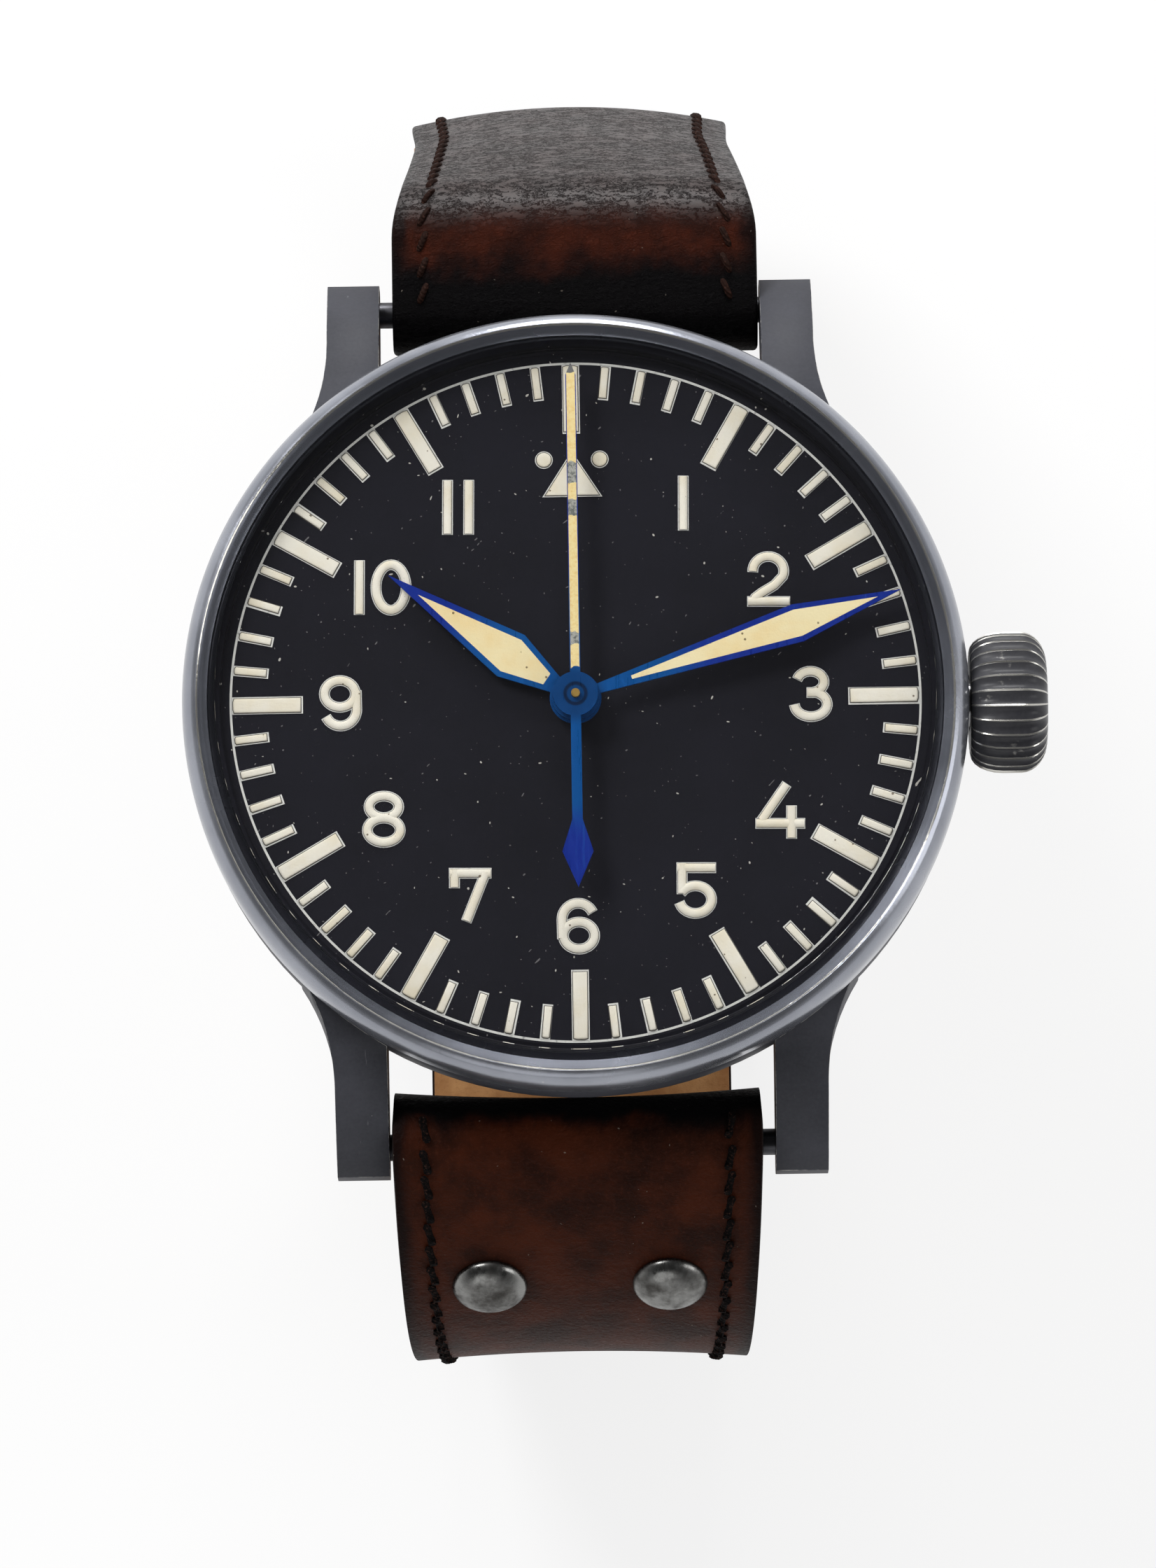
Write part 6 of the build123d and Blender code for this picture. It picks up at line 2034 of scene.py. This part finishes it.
    def sew(self) -> None:
        """Sew both edges with a row of short threads that dip into the leather at both ends."""
        line = [(0.0, self.stitch_length / 2 * share, rise) for share, rise in self.stitch_profile]
        model = tube("stitch", [line], self.stitch_radius, 1)
        copies = []
        count = int((self.lining_end - self.stitch_start - self.stitch_end) / self.stitch_pitch)
        ahead, aside = self.stitch_probe
        for side in (-1, 1):
            for step in range(count):
                distance = self.stitch_start + step * self.stitch_pitch
                (_, z), _ = self.route.at(distance)
                share = side * (1.0 - self.stitch_inset / self.half_width(z, distance))
                centre = self.place(distance, share, 0.0)
                along = (self.place(distance + ahead, share, 0.0) - centre).normalized()
                across = (self.place(distance, share + aside * side, 0.0) - centre).normalized() * side
                up = across.cross(along).normalized()
                slant = Matrix.Rotation(math.radians(self.stitch_slant * side), 4, "Z")
                axes = Matrix((across, along, up)).transposed().to_4x4()
                copies.append(copied(model, Matrix.Translation(centre) @ axes @ slant))
        bpy.data.objects.remove(model)
        seam = finish_mesh(joined(f"{self.name}_stitching", copies), 60)
        settle(seam, "watch", self.thread, "strap_leather")


def fade(value: float, low: float, high: float) -> float:
    """Return a smooth step from 0 to 1 between two values."""
    share = min(1.0, max(0.0, (value - low) / (high - low)))
    return share * share * (3 - 2 * share)


def swelling(height: float, value: float, rise: Point, fall: Point) -> float:
    """Return a height that fades in over one span and out over another."""
    return height * fade(value, *rise) * (1 - fade(value, *fall))


@dataclass
class Strap:
    """Both halves of the buckled strap, its rivets and its keepers."""

    bar_face: float = 29.008
    bar_height: float = -1.525
    eye: float = 2.9
    keeper_wall: float = 1.2
    keeper_length: float = 6.5
    keeper_corner: float = 1.1
    keeper_rounding: float = 0.3
    keeper_rows: int = 6
    hole_radius: float = 1.0
    hole_places: tuple[float, ...] = (6.0, 13.5, 21.0)
    slot_ends: Point = (-7.2, -2.6)
    slot_half: float = 1.2
    eye_slot_reach: float = 1.9
    rivet_distance: float = 20.35
    rivet_spacing: float = 12.75
    rivet_head: Point = (2.65, 1.15)
    rivet_rim: float = 0.2
    rivet_lip: float = 0.12
    rivet_shank: tuple[Point, ...] = ((0.0, -2.6), (1.7, -2.6), (1.7, -2.25), (0.9, -2.25), (0.9, 0.0))

    def build(self) -> None:
        """Build the strap."""
        self.upper().build()
        self.lower().build()
        self.wrap_keeper("fixed_keeper", "watch")
        self.wrap_keeper("sliding_keeper", "keeper")
        self.set_rivets()

    def set_rivets(self) -> None:
        """Turn the two domed rivets and set them square to the lower strap."""
        band = self.lower()
        seat = band.place(self.rivet_distance, 0.0, 0.0)
        normal = (seat - band.place(self.rivet_distance, 0.0, 1.0)).normalized()
        along = Vector((1, 0, 0))
        axes = Matrix((along, normal.cross(along), normal)).transposed().to_4x4()
        radius, rise = self.rivet_head
        dome = [(radius * math.cos(turn), self.rivet_rim + rise * math.sin(turn)) for turn in quarter(12)[:-1]]
        outline = [*self.rivet_shank, (radius - self.rivet_lip, 0.0), *dome, (0.0, self.rivet_rim + rise)]
        model = turned("strap_rivet_model", outline, 48, 40)
        places = [seat + Vector((side * self.rivet_spacing / 2 * MM, 0, 0)) for side in (-1, 1)]
        rivets = joined("turned_rivets", [copied(model, Matrix.Translation(place) @ axes) for place in places])
        bpy.data.objects.remove(model)
        settle(finish_mesh(rivets, 40), "watch", RIVET_STEEL, "worn_steel", "strap_rivets")

    def upper(self) -> StrapHalf:
        """Return the short half over the 12 o'clock bar."""
        bends = [Bend(self.eye, -160), Bend(5.1), Bend(5.0, -66.3), Bend(24.0), Bend(11.751, -113.7)]
        route = Route((self.bar_face, self.bar_height), 160.0, [*bends, Bend(38.565), Bend(1.74, -200)])
        reach, half = self.eye_slot_reach, self.slot_half
        slot = ((-half, -reach), (half, -reach), (half, reach), (-half, reach))
        return StrapHalf(
            "upper", route, outer_side=1.0, lining_start=11.4, lining_end=route.length - 8.0, taper_top=1.2,
            leather=UPPER_LEATHER, crowning=1.3, waist=0.7, shift=0.4, cuts=(slot,), cut_span=(-43.0, -31.0),
        )

    def lower(self) -> StrapHalf:
        """Return the long half from the 6 o'clock bar to the rounded tail."""
        bends = [Bend(self.eye, 190), Bend(22.0, 150), Bend(7.85), Bend(9.0, -20), Bend(4.72), Bend(9.0, 20)]
        route = Route((-self.bar_face, self.bar_height), 20.0, [*bends, Bend(33.008)])
        start, end = self.slot_ends
        slot = (*arc((0, start), self.slot_half, 180, 360, 12), *arc((0, end), self.slot_half, 0, 180, 12))
        holes = [tuple(circle((0, place), self.hole_radius, 24)) for place in self.hole_places]
        return StrapHalf(
            "lower", route, outer_side=-1.0, lining_start=12.95, lining_end=route.length, taper_top=6.0,
            leather=LOWER_LEATHER, crowning=-0.5, tail=14.0, stitch_start=7.5, stitch_end=18.0, stitch_radius=0.29,
            stitch_slant=12.0, thread=DARK_THREAD, crown_rise=(1.0, 4.0), crown_middle=0.0, swell=0.45, shift=-0.35,
            cuts=(slot, *holes),
        )

    def wrap_keeper(self, node: str, body: str) -> None:
        """Wrap one leather keeper round both halves.

        Args:
            node: The CAD node that it stands for.
            body: Body that it rides on.
        """
        low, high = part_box(node)
        middle, half, corner = (low.y + high.y) / 2, high.x, self.keeper_corner * MM
        right, left, top, bottom = half - corner, -half + corner, high.z - corner, low.z + corner
        corners = ((0, right, top), (90, left, top), (180, left, bottom), (270, right, bottom))
        rounded = [
            Vector((px, middle, pz)) for turn, x, z in corners for px, pz in arc((x, z), corner, turn, turn + 90, 6)
        ]
        piece = Piece(f"{node}_loop").trace(rounded).close()
        bpy.ops.mesh.delete(type="ONLY_FACE")
        bpy.ops.mesh.select_all(action="SELECT")
        bpy.ops.transform.translate(value=(0, -self.keeper_length / 2 * MM, 0))
        row = (0, self.keeper_length / self.keeper_rows * MM, 0)
        for _ in range(self.keeper_rows):
            bpy.ops.mesh.extrude_region_move(TRANSFORM_OT_translate={"value": row})
        face_out()
        loop = piece.done(50)
        turn_out(loop)
        centre = Vector((0, middle, (low.z + high.z) / 2))
        uv = loop.data.uv_layers.new(name="UVMap")
        for item in loop.data.loops:
            point = loop.data.vertices[item.vertex_index].co - centre
            uv.data[item.index].uv = (math.atan2(point.z, point.x) * half, point.y)
        thicken(loop, self.keeper_wall, self.keeper_rounding)
        settle(loop, body, KEEPER_LEATHER, "strap_leather", node)
        loop.data.materials.append(EDGE.made())


class Buckle:
    """Steel buckle frame, its bar and its tongue."""

    def build(self) -> None:
        """Dress the buckle."""
        dress(WORN_STEEL, "buckle_frame", "buckle_bar", "buckle_tongue")


# Movement


class Movement:
    """The hand-wound movement behind the dial."""

    def build(self) -> None:
        """Dress every piece of the movement."""
        dress(PLATE_METAL, "mainplate", "barrel_bridge", "train_bridge", "balance_cock", "pallet_cock")
        dress(WHEEL_BRASS, "barrel_drum", "barrel_lid", "centre_wheel", "third_wheel", "fourth_wheel")
        dress(WHEEL_BRASS, "minute_wheel", "hour_wheel")
        dress(POLISHED_STEEL, "barrel_arbor", "ratchet_wheel", "crown_wheel", "click", "escape_wheel", "pallet_fork")
        dress(POLISHED_STEEL, "balance_staff", "cannon_pinion", "stem", "winding_pinion", "sliding_pinion")
        dress(POLISHED_STEEL, "bridge_screws")
        dress(BALANCE_BRASS, "balance_wheel")
        dress(SPRING_STEEL, "mainspring", "hairspring")
        dress(JEWEL, "jewels")


def main() -> None:
    """Build the watch in its studio."""
    for assembly in (Studio(), WatchCase(), Crystal(), DialFace(), Hands(), Strap(), Buckle(), Movement()):
        LOG.info("building %s", type(assembly).__name__)
        assembly.build()


if __name__ == "__main__":
    main()
